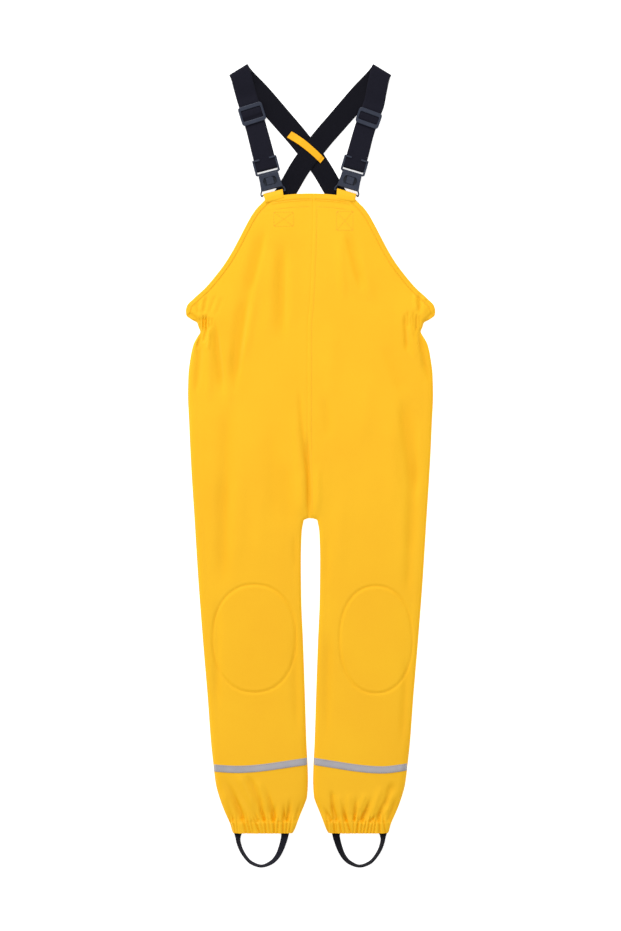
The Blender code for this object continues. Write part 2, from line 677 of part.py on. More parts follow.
def build_front(side, shape):
    """One half of the front, with the knee piece and the band made from its points."""
    knee = next(oval for oval in KNEES if oval.side == side)
    band = next(row for row in BANDS if row.side == side)
    outline = front_outline(side)
    rings = [oval_ring(knee, grow) for grow in (KNEE_GROOVE, 0.0, -KNEE_GROOVE)]
    lines = [ring + ring[:1] for ring in rings]
    lines += [band_edge(band, BAND_HALF), band_edge(band, -BAND_HALF), casing_line(side)]
    spots = Spots(outline, lines)
    spots.add(cuff_spots(side), 0.8)
    spots.add(waist_spots(side), 1.0)
    for inset in (ARM_HEM, ARM_HEM + HEM_STEP):
        spots.add(arm_hem_line(side, inset), 1.0)
    for y in (TOP_HEM_Y, TOP_HEM_Y - HEM_STEP):
        spots.add(top_hem_line(side, y), 1.0)
    for fold in FOLDS:
        spots.add(fold_spots(fold), min(4.5, 1.3 * fold.half_width))
    spots.add([p for p in fill_spots(outline, BIB_FILL_STEP) if p[1] > BIB_FILL_Y], 6.0)
    spots.add(fill_spots(outline, FILL_STEP), 10.0)
    points, triangles = triangulated(outline, lines, spots.free)
    low, high = shape.faces(points)
    name = side_name(side)
    slab(f"front_{name}", points, triangles, low, high, RAIN_CLOTH)

    centres = points[np.array(triangles)].mean(axis=1)
    on_knee = oval_offset(centres, knee, -KNEE_GROOVE) < 0
    inside = [t for t, keep in zip(triangles, on_knee) if keep]
    knee_low = high + GAP
    slab(f"knee_{name}", points, inside, knee_low, knee_low + KNEE_DIP - GAP + KNEE_TO_EDGE, KNEE_CLOTH)

    far = np.abs(centres[:, 1] - band_middle(band, centres))
    share = cuff_share(centres)
    on_band = [t for t, off, at in zip(triangles, far, share) if off < BAND_HALF and 0.004 < at < 0.996]
    band_low = high + GAP
    slab(f"band_{name}", points, on_band, band_low, band_low + BAND_THICK, REFLECTIVE)


def build_back(side):
    outline = back_outline(side)
    points, triangles = triangulated(outline, [], [])
    level = np.zeros(len(points))
    slab(f"back_{side_name(side)}", points, triangles, level, level + BACK_TOP, RAIN_CLOTH)


# Strips: braces, foot straps, tabs and the keeper


def strip(name, centres, halves, thickness, finish):
    """A flat strip through the centres, with a half-width vector at each of them."""
    centres, halves = np.array(centres, float), np.array(halves, float)
    ahead = np.gradient(centres, axis=0)
    ahead /= np.linalg.norm(ahead, axis=1)[:, None]
    up = np.cross(ahead, halves)
    up /= np.linalg.norm(up, axis=1)[:, None]
    up *= thickness / 2
    points = np.stack([centres - halves - up, centres + halves - up, centres + halves + up,
                       centres - halves + up], axis=1)
    faces = []
    for k in range(len(centres) - 1):
        a, b = 4 * k, 4 * k + 4
        for i in range(4):
            j = (i + 1) % 4
            faces.append((a + i, b + i, b + j, a + j))
    last = 4 * (len(centres) - 1)
    faces += [(0, 1, 2, 3), (last + 3, last + 2, last + 1, last)]
    rows = points.reshape(-1, 3)
    volume = signed_volume(rows, faces)
    if volume < 0:
        faces = [face[::-1] for face in faces]
    return add_object(name, rows, faces, finish)


def signed_volume(points, faces):
    total = 0.0
    for face in faces:
        for k in range(1, len(face) - 1):
            a, b, c = (np.array(points[face[i]]) for i in (0, k, k + 1))
            total += a @ np.cross(b, c)
    return total


def turn_rows(centre, outward, low_z, radius, from_low=True, count=5):
    """Centres of a strip that turns back over itself, round a level line through the centre."""
    angles = [math.pi * (k / count - 0.5) for k in range(count + 1)]
    angles = angles if from_low else angles[::-1]
    return [
        (*(np.array(centre) + outward * radius * math.cos(a)), low_z + radius + radius * math.sin(a))
        for a in angles
    ]


def local_place(x, y, side, lean, u, v):
    across, down = lean_axes(side, lean)
    return np.array([side * x, y]) + across * u + down * v


def slider_top(brace):
    """The middle of the slider's upper edge."""
    return local_place(brace.slider_x, brace.slider_y, brace.side, brace.slider_lean, 0, -SLIDER_LENGTH / 2)


def build_brace(brace):
    side = brace.side
    centres, halves = [], []

    def add(place, z, across, half=WEB_HALF):
        centres.append((*place, z))
        halves.append((*(across * half), 0.0))

    rows = np.array([(side * row.across, row.y) for row in BRACE_BACK])
    fold_across, fold_down = lean_axes(side, brace.fold_lean)
    outward = -fold_down
    fold = np.array([side * brace.fold_x, brace.fold_y]) - outward * (FOLD_RADIUS + WEB / 2)
    path = np.vstack([rows, fold])
    ahead = np.gradient(path, axis=0)
    ahead /= np.linalg.norm(ahead, axis=1)[:, None]
    for row, place, step in zip(BRACE_BACK, path, ahead):
        z = WEB / 2 + row.rise * brace.lift + row.on_back * (BACK_TOP + GAP)
        add(place, z, np.array([step[1], -step[0]]))
    for place in turn_rows(fold, outward, WEB / 2, FOLD_RADIUS):
        add(place[:2], place[2], fold_across, WEB_HALF + 0.4)

    slide_across, slide_down = lean_axes(side, brace.slider_lean)
    top = slider_top(brace)
    add(fold + (top - fold) * SHOULDER_SHARE, SHOULDER_Z, slide_across)
    for row in SLIDER_PASS:
        add(top + slide_down * row.v, row.z, slide_across)
    loop_across, loop_down = lean_axes(side, brace.buckle_lean)
    buckle = np.array([side * brace.buckle_x, brace.buckle_y])
    loop_z = WEB / 2 + 2 * LOOP_RADIUS
    add(buckle + loop_down * LOOP_BACK_V, loop_z, loop_across)
    add(buckle + loop_down * LOOP_FRONT_V, loop_z, loop_across)
    turn = buckle + loop_down * (LOOP_END_V - LOOP_RADIUS - WEB / 2)
    for place in turn_rows(turn, loop_down, WEB / 2, LOOP_RADIUS, from_low=False):
        add(place[:2], place[2], loop_across)
    add(buckle + loop_down * LOOP_BACK_V, REAR_Z, loop_across)
    add(top + slide_down * SLIDER_PASS[-1].v, REAR_Z, slide_across)
    add(top + slide_down * REAR_END_V, REAR_Z, slide_across)
    strip(f"brace_{side_name(side)}", centres, halves, WEB, ELASTIC)


def build_foot_strap(side):
    centres, halves = [], []
    flat = np.array([(side * row.x, row.y) for row in FOOT_STRAP_ROWS])
    ahead = np.gradient(flat, axis=0)
    ahead /= np.linalg.norm(ahead, axis=1)[:, None]
    for row, place, step in zip(FOOT_STRAP_ROWS, flat, ahead):
        turn = math.radians(row.turn)
        resting = BACK_TOP + GAP + FOOT_STRAP / 2
        standing = FOOT_STRAP_HALF * math.sin(turn) + FOOT_STRAP / 2 * math.cos(turn) + 0.05
        centres.append((*place, max(resting if row.turn < 10 else 0.0, standing)))
        inward = np.array([step[1], -step[0]]) * side
        across = inward * math.cos(turn)
        halves.append((*(across * FOOT_STRAP_HALF), FOOT_STRAP_HALF * math.sin(turn)))
    strip(f"foot_strap_{side_name(side)}", centres, halves, FOOT_STRAP, FOOT_ELASTIC)


def build_tab(brace):
    """A strip from behind the bib, round the buckle's bar and back."""
    sewn, bar = (np.array(p) for p in tab_line(brace))
    buckle_across, buckle_down = lean_axes(brace.side, brace.buckle_lean)
    bib = sewn + (bar - sewn) * TAB_BIB_SHARE
    sewn_down = (sewn - bib) / np.linalg.norm(sewn - bib)
    sewn_across = np.array([-sewn_down[1], sewn_down[0]])
    low, high = tab_low(), tab_low() + TAB_CLOTH + GAP
    centres = [(*sewn, low), (*bib, low)]
    halves = [sewn_across * TAB_HALF, sewn_across * TAB_HALF]
    for place in turn_rows(bar, -buckle_down, TAB_BAR_Z - TAB_RADIUS, TAB_RADIUS, count=6):
        centres.append(place)
        halves.append(buckle_across * TAB_HALF)
    centres += [(*bib, high), (*sewn, high)]
    halves += [sewn_across * TAB_HALF, sewn_across * TAB_HALF]
    halves = [(*half, 0.0) for half in halves]
    strip(f"tab_{side_name(brace.side)}", centres, halves, TAB_CLOTH, RAIN_CLOTH)


def build_keeper():
    start, end = np.array(KEEPER_START), np.array(KEEPER_END)
    ahead = (end - start) / np.linalg.norm(end - start)
    across = np.array([-ahead[1], ahead[0]])
    centres = [(*(start + ahead * row.along + across * row.bow), row.z) for row in KEEPER_ROWS]
    halves = [(*(across * row.half_width), 0.0) for row in KEEPER_ROWS]
    strip("keeper", centres, halves, KEEPER_CLOTH, RAIN_CLOTH)


# Plastic pieces


def block_mesh(block, brace, grow=0.0):
    """A box's corners and faces, placed on the brace's buckle."""
    corners = []
    for z in (block.z0 - grow, block.z1 + grow):
        for u, v in ((block.u0, block.v0), (block.u1, block.v0), (block.u1, block.v1), (block.u0, block.v1)):
            place = local_place(brace.buckle_x, brace.buckle_y, brace.side, brace.buckle_lean, u, v)
            corners.append((*place, z))
    faces = [(0, 1, 2, 3), (7, 6, 5, 4), (0, 4, 5, 1), (1, 5, 6, 2), (2, 6, 7, 3), (3, 7, 4, 0)]
    return corners, faces


def build_blocks(name, blocks, cuts, brace):
    """Boxes joined into one solid, less the cuts."""
    first = add_object(name, *block_mesh(blocks[0], brace), PLASTIC)
    helpers = [(block, "UNION") for block in blocks[1:]] + [(block, "DIFFERENCE") for block in cuts]
    for index, (block, operation) in enumerate(helpers):
        helper = add_object(f"{name}_helper_{index}", *block_mesh(block, brace), PLASTIC)
        helper.hide_render = True
        helper.display_type = "WIRE"
        joined = first.modifiers.new(f"{operation.lower()}_{index}", "BOOLEAN")
        joined.operation = operation
        joined.object = helper
    return first


def build_slider(brace):
    """A frame with two slots, lower in the middle so that the brace passes over its bar."""
    rows = SLIDER_ROWS
    inner = SLIDER_HALF - SLIDER_RAIL
    points, triangles, low, high = [], [], [], []
    columns = (-SLIDER_HALF, -inner, inner, SLIDER_HALF)
    top = slider_top(brace)
    across, down = lean_axes(brace.side, brace.slider_lean)
    for row in rows:
        for u in columns:
            points.append(top + across * u + down * row.v)
            low.append(row.low)
            high.append(row.high)
    for j in range(len(rows) - 1):
        for i in range(len(columns) - 1):
            if i != 1 or j not in SLIDER_SLOTS:
                a = 4 * j + i
                triangles += [(a, a + 1, a + 5), (a, a + 5, a + 4)]
    slab(f"slider_{side_name(brace.side)}", np.array(points), triangles, low, high, PLASTIC)


def main():
    clear_scene()
    shape = FrontShape()
    for side in (-1, 1):
        build_front(side, shape)
        build_back(side)
        build_foot_strap(side)
    for brace in BRACES:
        build_brace(brace)
        build_slider(brace)
        build_tab(brace)
        build_blocks(f"buckle_frame_{side_name(brace.side)}", FRAME_BLOCKS, FRAME_CUTS, brace)
        build_blocks(f"buckle_tongue_{side_name(brace.side)}", TONGUE_BLOCKS, [], brace)
    build_keeper()


main()
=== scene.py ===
"""Looks of a child's bib-and-brace rain trousers, laid flat on their back with the front side up.

Tables are in millimetres: X runs across the garment, Y from the cuffs to the braces' shoulder folds,
and Z up from the surface that the garment lies on. Meshes are made in metres.
"""

import logging
import math
from dataclasses import dataclass, field
from enum import Enum
from typing import Callable, Iterable, NamedTuple, Sequence

import bpy
import numpy as np
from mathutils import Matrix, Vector
from mathutils.geometry import delaunay_2d_cdt


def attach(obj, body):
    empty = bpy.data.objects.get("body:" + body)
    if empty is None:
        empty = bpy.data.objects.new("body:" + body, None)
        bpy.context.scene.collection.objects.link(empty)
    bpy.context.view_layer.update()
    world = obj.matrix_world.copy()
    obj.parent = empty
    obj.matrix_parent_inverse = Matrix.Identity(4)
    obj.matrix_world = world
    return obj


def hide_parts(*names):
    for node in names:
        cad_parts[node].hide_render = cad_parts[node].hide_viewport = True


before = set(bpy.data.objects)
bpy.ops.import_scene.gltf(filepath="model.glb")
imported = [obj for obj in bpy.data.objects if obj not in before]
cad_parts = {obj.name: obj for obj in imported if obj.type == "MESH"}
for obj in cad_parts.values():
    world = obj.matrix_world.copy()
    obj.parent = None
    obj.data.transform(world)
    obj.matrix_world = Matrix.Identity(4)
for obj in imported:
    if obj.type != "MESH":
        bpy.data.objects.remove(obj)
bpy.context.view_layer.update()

MM = 0.001
LOG = logging.getLogger("rain_trousers")

Points = np.ndarray
Faces = list[tuple[int, ...]]
Colour = tuple[float, float, float]
Pair = tuple[float, float]
Row = tuple[float, ...]
Line = list[Pair]
Material = bpy.types.Material
Piece = bpy.types.Object
Socket = bpy.types.NodeSocket


class Side(Enum):
    """Which half of the garment, as seen in the picture with the front side up."""

    LEFT = -1
    RIGHT = 1

    @property
    def word(self) -> str:
        """The side's name in a piece's name."""
        return self.name.lower()


class Station(NamedTuple):
    """A half width of the garment at one height."""

    y: float
    half: float


class Crease(NamedTuple):
    """A soft trough (depth below 0) or ridge along a line, which may bow and lean to one side."""

    x0: float
    y0: float
    x1: float
    y1: float
    half_width: float
    depth: float
    bow: float = 0.0
    lean: float = 0.0


class Pleat(NamedTuple):
    """A valley between two gathers of a cuff, from the top of its casing to the hem."""

    top_x: float
    hem_x: float
    width: float
    depth: float


SIDE_EDGE = [Station(*row) for row in (
    (320.5, 52), (317.5, 55), (313, 59.5), (309, 63.6), (299.5, 70.5), (285, 78.5), (270.5, 86),
    (256.5, 93.5), (242, 102.5), (227.5, 113.5), (213, 126), (200, 140), (191.5, 148),
    (185.5, 149.5), (180.5, 149), (175, 142.6), (171, 135.8), (166, 134.3), (160.5, 132.2),
    (154.5, 135.4), (146, 140), (131.5, 143.5), (107.5, 146.5), (86, 147), (50, 145.5),
    (6.5, 143.5), (-65.5, 139), (-137.5, 134.5), (-209.5, 129), (-281.5, 123), (-329.5, 119.5),
    (-358, 116.5), (-382, 113.5), (-401.5, 108), (-415.5, 102.5), (-430, 96), (-437.5, 94),
    (-440.2, 92.8),
)]
INSEAM = [Station(*row) for row in (
    (-63, 2), (-65.5, 8), (-70, 9), (-79.5, 10.5), (-113.5, 11.5), (-161.5, 11), (-209.5, 9),
    (-281.5, 6.5), (-329.5, 5), (-377.5, 3), (-396.5, 4), (-406, 7), (-415.5, 11), (-425.5, 15),
    (-435, 18.6), (-440.2, 21.4),
)]
BACK_ARMHOLE = [Station(*row) for row in (
    (262, 80), (250, 89), (244.5, 94), (228.5, 106.5), (210.5, 124), (195, 142.5), (185.5, 148.8),
)]
CENTRE_SEAM = [Station(*row) for row in (
    (326.5, 3), (312.5, 3), (198.5, -0.5), (162.5, -3.5), (83.5, -3.5), (-63, -2.5),
)]
ARMHOLE_STATIONS = 14
CROTCH_Y = -63.0
HEM_Y = -440.2
CASING_Y = -425.5
TOP_Y = 325.8
TOP_ARCH = 5.3
TOP_CORNER_X = 52.0

CREASES = [Crease(*row) for row in (
    (-33.4, 278, -34, 140, 6.5, -2, 0.6, 0.3), (-22, 262, -23, 150, 8, 0.8),
    (-46, 262, -50, 150, 7, 1), (-55, 286, -77, 196, 6.5, -2.5, 1.5, 0.45),
    (-73, 216, -92, 82, 7, -2.8, -1.5, 0.45), (-65, 214, -81, 120, 5, 1.1),
    (-115, 178, -104.5, 82, 4, -2.3, 0, 0.3), (-122, 160, -122, 70, 5, 1.1),
    (-99, 160, -98, 60, 6, 1), (-98, 84, -106, -70, 9, -1.3), (-103, -6, -106, -150, 8, -1.7),
    (-84, 10, -88, -130, 10, 0.8), (-48, 60, -40, -80, 12, -1), (-30, 10, -26, -80, 8, -0.8),
    (-62, -20, -60, -130, 10, 0.7), (-17, 70, -11, -30, 5, 0.9, -1),
    (-14, 100, -2.2, -20, 2.6, -1.3, -1, 0.2), (-4.2, 44, -0.6, -74, 3.2, -3.2, 0, 0.1),
    (9, 4, 8.4, -62, 3.6, 0.8), (-12, -4, -11, -62, 4, 0.7), (42, 284, 63, 206, 5.5, -2, 0, -0.3),
    (34, 280, 40, 190, 5, 0.9), (56, 262, 76, 190, 6, 0.8), (26, 180, 24, 60, 10, 0.7),
    (14, 88, 20, 30, 6, -0.9, 3), (74, 120, 60, 20, 10, 0.7), (84, 148, 112, 76, 8, -0.8, 3, -0.3),
    (110, 90, 130, -40, 9, -2.2, -3, -0.3), (92, 60, 104, -60, 9, 1), (124, 20, 119, -110, 6, -1.7),
    (132, 60, 129, -60, 4, 0.8), (110, -20, 110, -140, 8, 0.7), (120, -70, 116, -160, 5, -1.1),
    (20, -80, 17, -150, 4, -0.6), (36, -30, 34, -130, 9, 0.7), (-19, -80, -17, -130, 3, -0.7),
    (-112, -150, -112, -300, 4.5, -1.2), (116, -220, 110, -340, 4.5, -1.1),
    (22, -190, 18, -340, 5, -1), (-20, -190, -16, -330, 4.5, -0.9),
    (112.6, 184, 116.5, 132, 2.4, -1.8, 0, 0.2), (119, 170, 127, 122, 2.8, 1.3),
    (113.4, 184, 113.4, 166, 1.3, -0.6), (116.6, 187, 116.8, 162, 1.3, -1.2),
    (120.2, 180, 120.4, 167, 1.1, -0.6), (123.4, 187, 123.8, 163, 1.4, -1),
    (127, 183, 127, 158, 1.4, -2.1), (130.6, 181, 130.4, 164, 1.1, -1.1),
    (129.8, 208, 131.2, 180, 1.6, -1.5), (124.5, 208, 126.5, 184, 2.2, 1.1),
    (136, 206, 135.6, 184, 2.2, 1.2), (129, 168, 143.6, 98, 2.7, -2.5, -1.6, -0.2),
    (125, 160, 133, 114, 3.2, 1.3), (139, 158, 144.4, 128, 1.9, 0.8),
    (150, 186, 134, 171, 2.2, -1.1), (142, 194, 134, 180, 2.4, 0.7),
    (-147, 184, -131, 171, 2, -1.4), (-132, 180, -131.6, 160, 1.1, -1.5),
    (-128.2, 182, -128.4, 158, 1.2, -2.9), (-124.8, 182.5, -125, 157, 1.2, -2.8),
    (-121.4, 179, -121.2, 162, 1.2, -1.3), (-117.6, 178, -117.8, 165, 1.3, -0.8),
    (-137, 196, -134, 180, 1.6, -0.9), (-124, 205, -128.4, 180, 1.8, -1.1),
    (-113, 206, -121.5, 181, 2.2, -0.7), (-129, 204, -131.6, 184, 1.8, 0.8),
    (-104, 204, -114, 178, 2.8, -0.5), (-129.5, 163, -137.5, 138, 1.9, -2.1, 0.6),
    (-124.5, 165, -129, 146, 1.8, -1.8), (-133.5, 160, -140, 134, 1.8, 1),
    (-121, 166, -123, 136, 2, 1.1), (-132, 152, -138, 82, 3.2, -1.9),
    (-90, -364, -64, -416, 5, 1.5, 1.2), (-106, -386, -92, -424, 3, 1.1),
    (-76, -368, -59, -412, 3.8, -1.7, 1.4, 0.4), (-65, -374, -48, -416, 3.4, 1.2, 1),
    (24.8, -387, 27.6, -420, 2, -2), (98.5, -377, 89, -414, 4, -1.8, -1, -0.3),
    (33, -392, 37.5, -422, 3, 1), (46, -390, 47, -422, 3.6, 0.9), (66.5, -390, 57.5, -416, 3, 0.9),
    (85, -382, 73, -420, 3.6, 1.1), (100, -388, 88, -422, 2.4, 1),
)]
CUFF_CREASES = [Crease(*row) for row in (
    (-104.5, -370, -78.7, -427.5, 3.6, -3.6, 1.6, 0.5),
    (-101.5, -394, -92.1, -427.5, 2.6, -2.2, 0, 0.3),
    (-62, -392, -54.4, -427.5, 2.1, -3.8, -0.8, 0.25), (-58, -375, -42, -426, 3, -2.8, 1, 0.4),
    (-42.4, -404, -44.9, -427.5, 2.3, -2.9), (-31.8, -402, -30.9, -427.5, 1.4, -3.1),
    (-23.8, -395, -28.2, -427.5, 2.2, -3.2, 0, -0.2),
    (-10.5, -397, -18.7, -427.5, 2.1, -1.8, 0, -0.2), (-68, -412, -62.1, -427.5, 1.6, -2.5),
    (-87, -394, -70, -426, 2.8, 1), (-37, -400, -37.5, -426, 2.4, 0.9),
    (25.8, -400, 32.4, -427.5, 2.4, -3.6, -0.8, 0.2), (13.5, -406, 26, -427.5, 1.7, -2.7),
    (37.6, -402, 42.7, -427.5, 1.9, -3.1), (55.4, -392, 52.3, -427.5, 1.8, -2.9),
    (73.5, -393, 59.8, -427.5, 2.6, -3.8, 0.8, -0.35), (63.6, -412, 59.6, -427.5, 1.5, -2),
    (81, -416, 70.7, -427.5, 1.8, -2.5), (92, -396, 79.2, -427.5, 2.6, -3.1, -1, -0.3),
    (107, -389, 93.1, -427.5, 3, -2.5, -0.6, -0.2),
)]
UNDERSIDE_CREASES = [Crease(*row) for row in (
    (-52, 150, -60, 30, 7, -0.6), (48, 150, 66, 20, 8, -0.6), (-88, 140, -96, 60, 5, -0.5),
    (101, 138, 96, 52, 6, -0.6), (-9, 60, -3, -60, 3, -0.8), (8, 30, 3, -62, 3.2, -0.7),
    (-96, -170, -40, -190, 6, -0.6, 4), (-100, -196, -34, -214, 5, -0.7),
    (-88, -226, -50, -232, 5, -0.5), (40, -176, 108, -194, 6, -0.6, -4),
    (48, -204, 112, -212, 5, -0.7), (60, -230, 96, -238, 5, -0.5),
    (-90, -380, -72, -424, 3.4, -0.8), (-48, -386, -42, -424, 3, -0.8),
    (-24, -392, -30, -424, 2.6, -0.7), (34, -388, 40, -424, 3, -0.8),
    (72, -384, 62, -424, 3.2, -0.8), (98, -392, 86, -424, 3, -0.8),
)]
CUFF_PLEATS = {
    Side.LEFT: [Pleat(*row) for row in (
        (-96.3, -92.9, 1.2, 0.8), (-92.3, -90.2, 1, 0.7), (-87.8, -87.2, 0.9, 0.5),
        (-80.2, -76.8, 1.4, 1), (-75.6, -71.9, 1.1, 0.8), (-70.8, -68.5, 0.9, 0.6),
        (-66.3, -60.8, 1.3, 0.95), (-59.5, -56.6, 1, 0.6), (-54.7, -53, 1.1, 0.85),
        (-49.8, -47.9, 0.9, 0.6), (-43.8, -43.3, 1.3, 0.95), (-38.2, -39.6, 1, 0.7),
        (-32.8, -32.8, 1.3, 0.95), (-28, -29, 1, 0.7), (-23.2, -25.5, 1, 0.7),
    )],
    Side.RIGHT: [Pleat(*row) for row in (
        (19.9, 21.6, 1.1, 0.8), (24.4, 25.6, 0.8, 0.4), (27.8, 29, 1.3, 1), (30.8, 31.8, 0.9, 0.6),
        (34.6, 36.9, 1.1, 0.8), (39.7, 41.7, 0.9, 0.6), (43.4, 48.2, 1.2, 0.9),
        (52.2, 51.6, 0.9, 0.55), (57.3, 55.6, 1.3, 1), (62.4, 60.4, 1, 0.7), (66.7, 63.8, 1, 0.75),
        (70.9, 68.2, 1.1, 0.8), (75, 72.3, 1, 0.75), (78.1, 76, 0.9, 0.7), (82.5, 82.8, 1.2, 0.9),
        (87.6, 89.6, 1.1, 0.8),
    )],
}


class Oval(NamedTuple):
    """A knee oval's middle and half sizes."""

    x: float
    y: float
    half_x: float
    half_y: float


class BandLine(NamedTuple):
    """The middle line of a reflective band, as its height at three distances from the centre."""

    inner_y: float
    dip_x: float
    dip_y: float
    outer_y: float


KNEES = {Side.LEFT: Oval(-67.3, -207.4, 49.6, 64.4), Side.RIGHT: Oval(78.4, -208.7, 43.5, 64.0)}
OVAL_FULLNESS = 2.2
BANDS = {
    Side.LEFT: BandLine(-354.3, 88.0, -363.6, -362.3),
    Side.RIGHT: BandLine(-354.3, 86.0, -364.2, -361.0),
}
BAND_HALF = 4.2
TAB_BOXES = {Side.LEFT: (-44.0, -20.5, 286.5, 303.5), Side.RIGHT: (31.2, 50.8, 281.5, 304.5)}


class BracePlaces(NamedTuple):
    """Where each piece on a brace lies, with X as on the right side, and its lean in degrees."""

    fold_x: float
    fold_y: float
    fold_lean: float
    slider_x: float
    slider_y: float
    slider_lean: float
    buckle_x: float
    buckle_y: float
    buckle_lean: float
    tab_x: float
    tab_y: float
    lift: float
    slider_half: float
    slider_length: float


class BackRow(NamedTuple):
    """A place on a brace behind the bib and over the crossing."""

    across: float
    y: float
    rise: float
    on_back: float


class StrapRow(NamedTuple):
    """A place on a foot strap, with its turn from flat in degrees."""

    x: float
    y: float
    turn: float


BRACES = {
    Side.LEFT: BracePlaces(
        86.7, 474.8, 31.6, 71.0, 424.3, 17.5, 55.6, 368.2, 14.6, 34.6, 286.0, 0.0, 15.0, 23.2
    ),
    Side.RIGHT: BracePlaces(
        86.2, 474.7, 31.4, 70.2, 417.5, 20.0, 55.4, 368.4, 16.5, 37.0, 283.0, 1.7, 14.5, 19.4
    ),
}
BRACE_BACK = [BackRow(*row) for row in (
    (-80.0, 246.0, 0.0, 1.0), (-66.0, 269.0, 0.0, 1.0), (-58.2, 281.5, 0.0, 0.0),
    (-39.5, 312.0, 0.0, 0.0), (-26.0, 334.0, 0.0, 0.0), (-14.0, 354.5, 1.0, 0.0),
    (-4.5, 368.5, 1.0, 0.0), (4.0, 379.0, 1.0, 0.0), (16.4, 394.5, 1.0, 0.0),
    (32.2, 412.8, 0.0, 0.0), (59.2, 443.9, 0.0, 0.0),
)]
FOOT_STRAP_ROWS = [StrapRow(*row) for row in (
    (30.5, -431.0, 0.0), (30.6, -439.8, 0.0), (31.0, -444.6, 34.0), (32.3, -450.0, 42.0),
    (34.9, -458.0, 50.0), (39.6, -467.8, 61.0), (47.2, -475.6, 73.0), (58.8, -479.8, 84.0),
    (70.4, -476.0, 80.0), (79.8, -465.8, 75.0), (84.8, -455.6, 69.0), (86.6, -448.0, 62.0),
    (86.7, -444.2, 50.0), (86.8, -439.8, 0.0), (86.8, -431.0, 0.0),
)]
CLOTH = 1.5
GAP = 0.3
BACK_TOP = 1.5
WEB = 1.4
WEB_HALF = 12.5
TAB_CLOTH = 0.8
TAB_HALF = 11.5
FOOT_STRAP = 1.2
FOOT_STRAP_HALF = 5.0
SLIDER_LENGTH = 18.5
TAB_BAR_V = 42.9
UPPER_FACE = 100.0
LOWER_FACE = 300.0
EDGE_MARGIN = 0.3
GATHER_REACH = 25.0
CREASE_FALL = 0.7
FAR = 1e9
TINY = 1e-9


# Curves, distances and meshes that every piece uses


def smooth_step(value: Points, start: float, end: float) -> Points:
    """A smooth rise from 0 at start to 1 at end."""
    t = np.clip((value - start) / (end - start), 0, 1)
    return t * t * (3 - 2 * t)


def half_width(stations: Sequence[Station], y: Points | float) -> Points:
    """The half width at a height, on a smooth curve that never overshoots its stations.

    Args:
        stations: half widths at known heights, in any order.
        y: the heights asked for.

    Returns:
        The half width at each height.
    """
    rows = sorted(stations)
    ys = np.array([row.y for row in rows])
    xs = np.array([row.half for row in rows])
    run = np.diff(ys)
    rise = np.diff(xs) / run
    slope = np.zeros(len(ys))
    slope[[0, -1]] = rise[[0, -1]]
    for i in range(1, len(ys) - 1):
        if rise[i - 1] * rise[i] > 0:
            slope[i] = 2 * rise[i - 1] * rise[i] / (rise[i - 1] + rise[i])
    y = np.clip(np.asarray(y, float), ys[0], ys[-1])
    i = np.clip(np.searchsorted(ys, y) - 1, 0, len(run) - 1)
    t = (y - ys[i]) / run[i]
    start = (1 + 2 * t) * (1 - t) ** 2 * xs[i] + t * (1 - t) ** 2 * run[i] * slope[i]
    end = t**2 * (3 - 2 * t) * xs[i + 1] + t**2 * (t - 1) * run[i] * slope[i + 1]
    return start + end


def edge_line(stations: Sequence[Station], step: float) -> Line:
    """Points (half width, y) down a row of stations, about a step apart.

    Args:
        stations: the edge's stations from the top down.
        step: the distance between points, in millimetres.

    Returns:
        The points, with one at each station.
    """
    found = []
    for upper, lower in zip(stations, stations[1:]):
        pieces = max(1, math.ceil(math.hypot(upper.y - lower.y, upper.half - lower.half) / step))
        for k in range(pieces):
            y = upper.y + (lower.y - upper.y) * k / pieces
            found.append((float(half_width(stations, y)), y))
    found.append((stations[-1].half, stations[-1].y))
    return found


def line_distance(points: Points, line: Line) -> Points:
    """The distance from each point to a line of points.

    Args:
        points: places in millimetres.
        line: the line's points in order.

    Returns:
        The distance at each place.
    """
    nearest = np.full(len(points), FAR)
    for a, b in zip(line, line[1:]):
        start, along = np.array(a, float), np.array(b, float) - np.array(a, float)
        t = np.clip((points - start) @ along / max(along @ along, TINY), 0, 1)
        off = points - start - t[:, None] * along
        nearest = np.minimum(nearest, off[:, 0] ** 2 + off[:, 1] ** 2)
    return np.sqrt(nearest)


def outside_distance(points: Points, polygon: Line) -> Points:
    """How far each point lies outside a closed polygon, 0 inside it.

    Args:
        points: places in millimetres.
        polygon: its corners in order.

    Returns:
        The distance at each place.
    """
    closed = list(polygon) + [polygon[0]]
    inside = np.zeros(len(points), bool)
    for (x0, y0), (x1, y1) in zip(closed, closed[1:]):
        if y0 != y1:
            crosses = (points[:, 1] < max(y0, y1)) & (points[:, 1] >= min(y0, y1))
            at = x0 + (points[:, 1] - y0) * (x1 - x0) / (y1 - y0)
            inside ^= crosses & (points[:, 0] < at)
    far = np.zeros(len(points))
    far[~inside] = line_distance(points[~inside], closed)
    return far


def bell(off: Points, height: float, width: Points | float) -> Points:
    """A rounded ridge or groove, at each distance from its middle."""
    return height * np.exp(-((off / width) ** 2))


def bib_top(x: Points | float) -> Points:
    """The bib's top edge, which arches down toward its corners."""
    return TOP_Y - TOP_ARCH * (np.asarray(x) / TOP_CORNER_X) ** 2


def directions(line: Points) -> Points:
    """The unit direction of a line of points at each of them."""
    ahead = np.gradient(line, axis=0)
    return ahead / np.linalg.norm(ahead, axis=1)[:, None]


def line_normals(line: Line) -> tuple[Points, Points]:
    """A line's points and its unit normals, to the left of its direction.

    Args:
        line: its points in order.

    Returns:
        The points, and a normal at each.
    """
    points = np.array(line, float)
    ahead = directions(points)
    return points, np.stack([-ahead[:, 1], ahead[:, 0]], axis=1)


def strip_polygon(line: Line, half: float) -> Line:
    """The outline of a strip of one half width along a line."""
    points, normals = line_normals(line)
    return [tuple(p) for p in np.vstack([points + normals * half, (points - normals * half)[::-1]])]


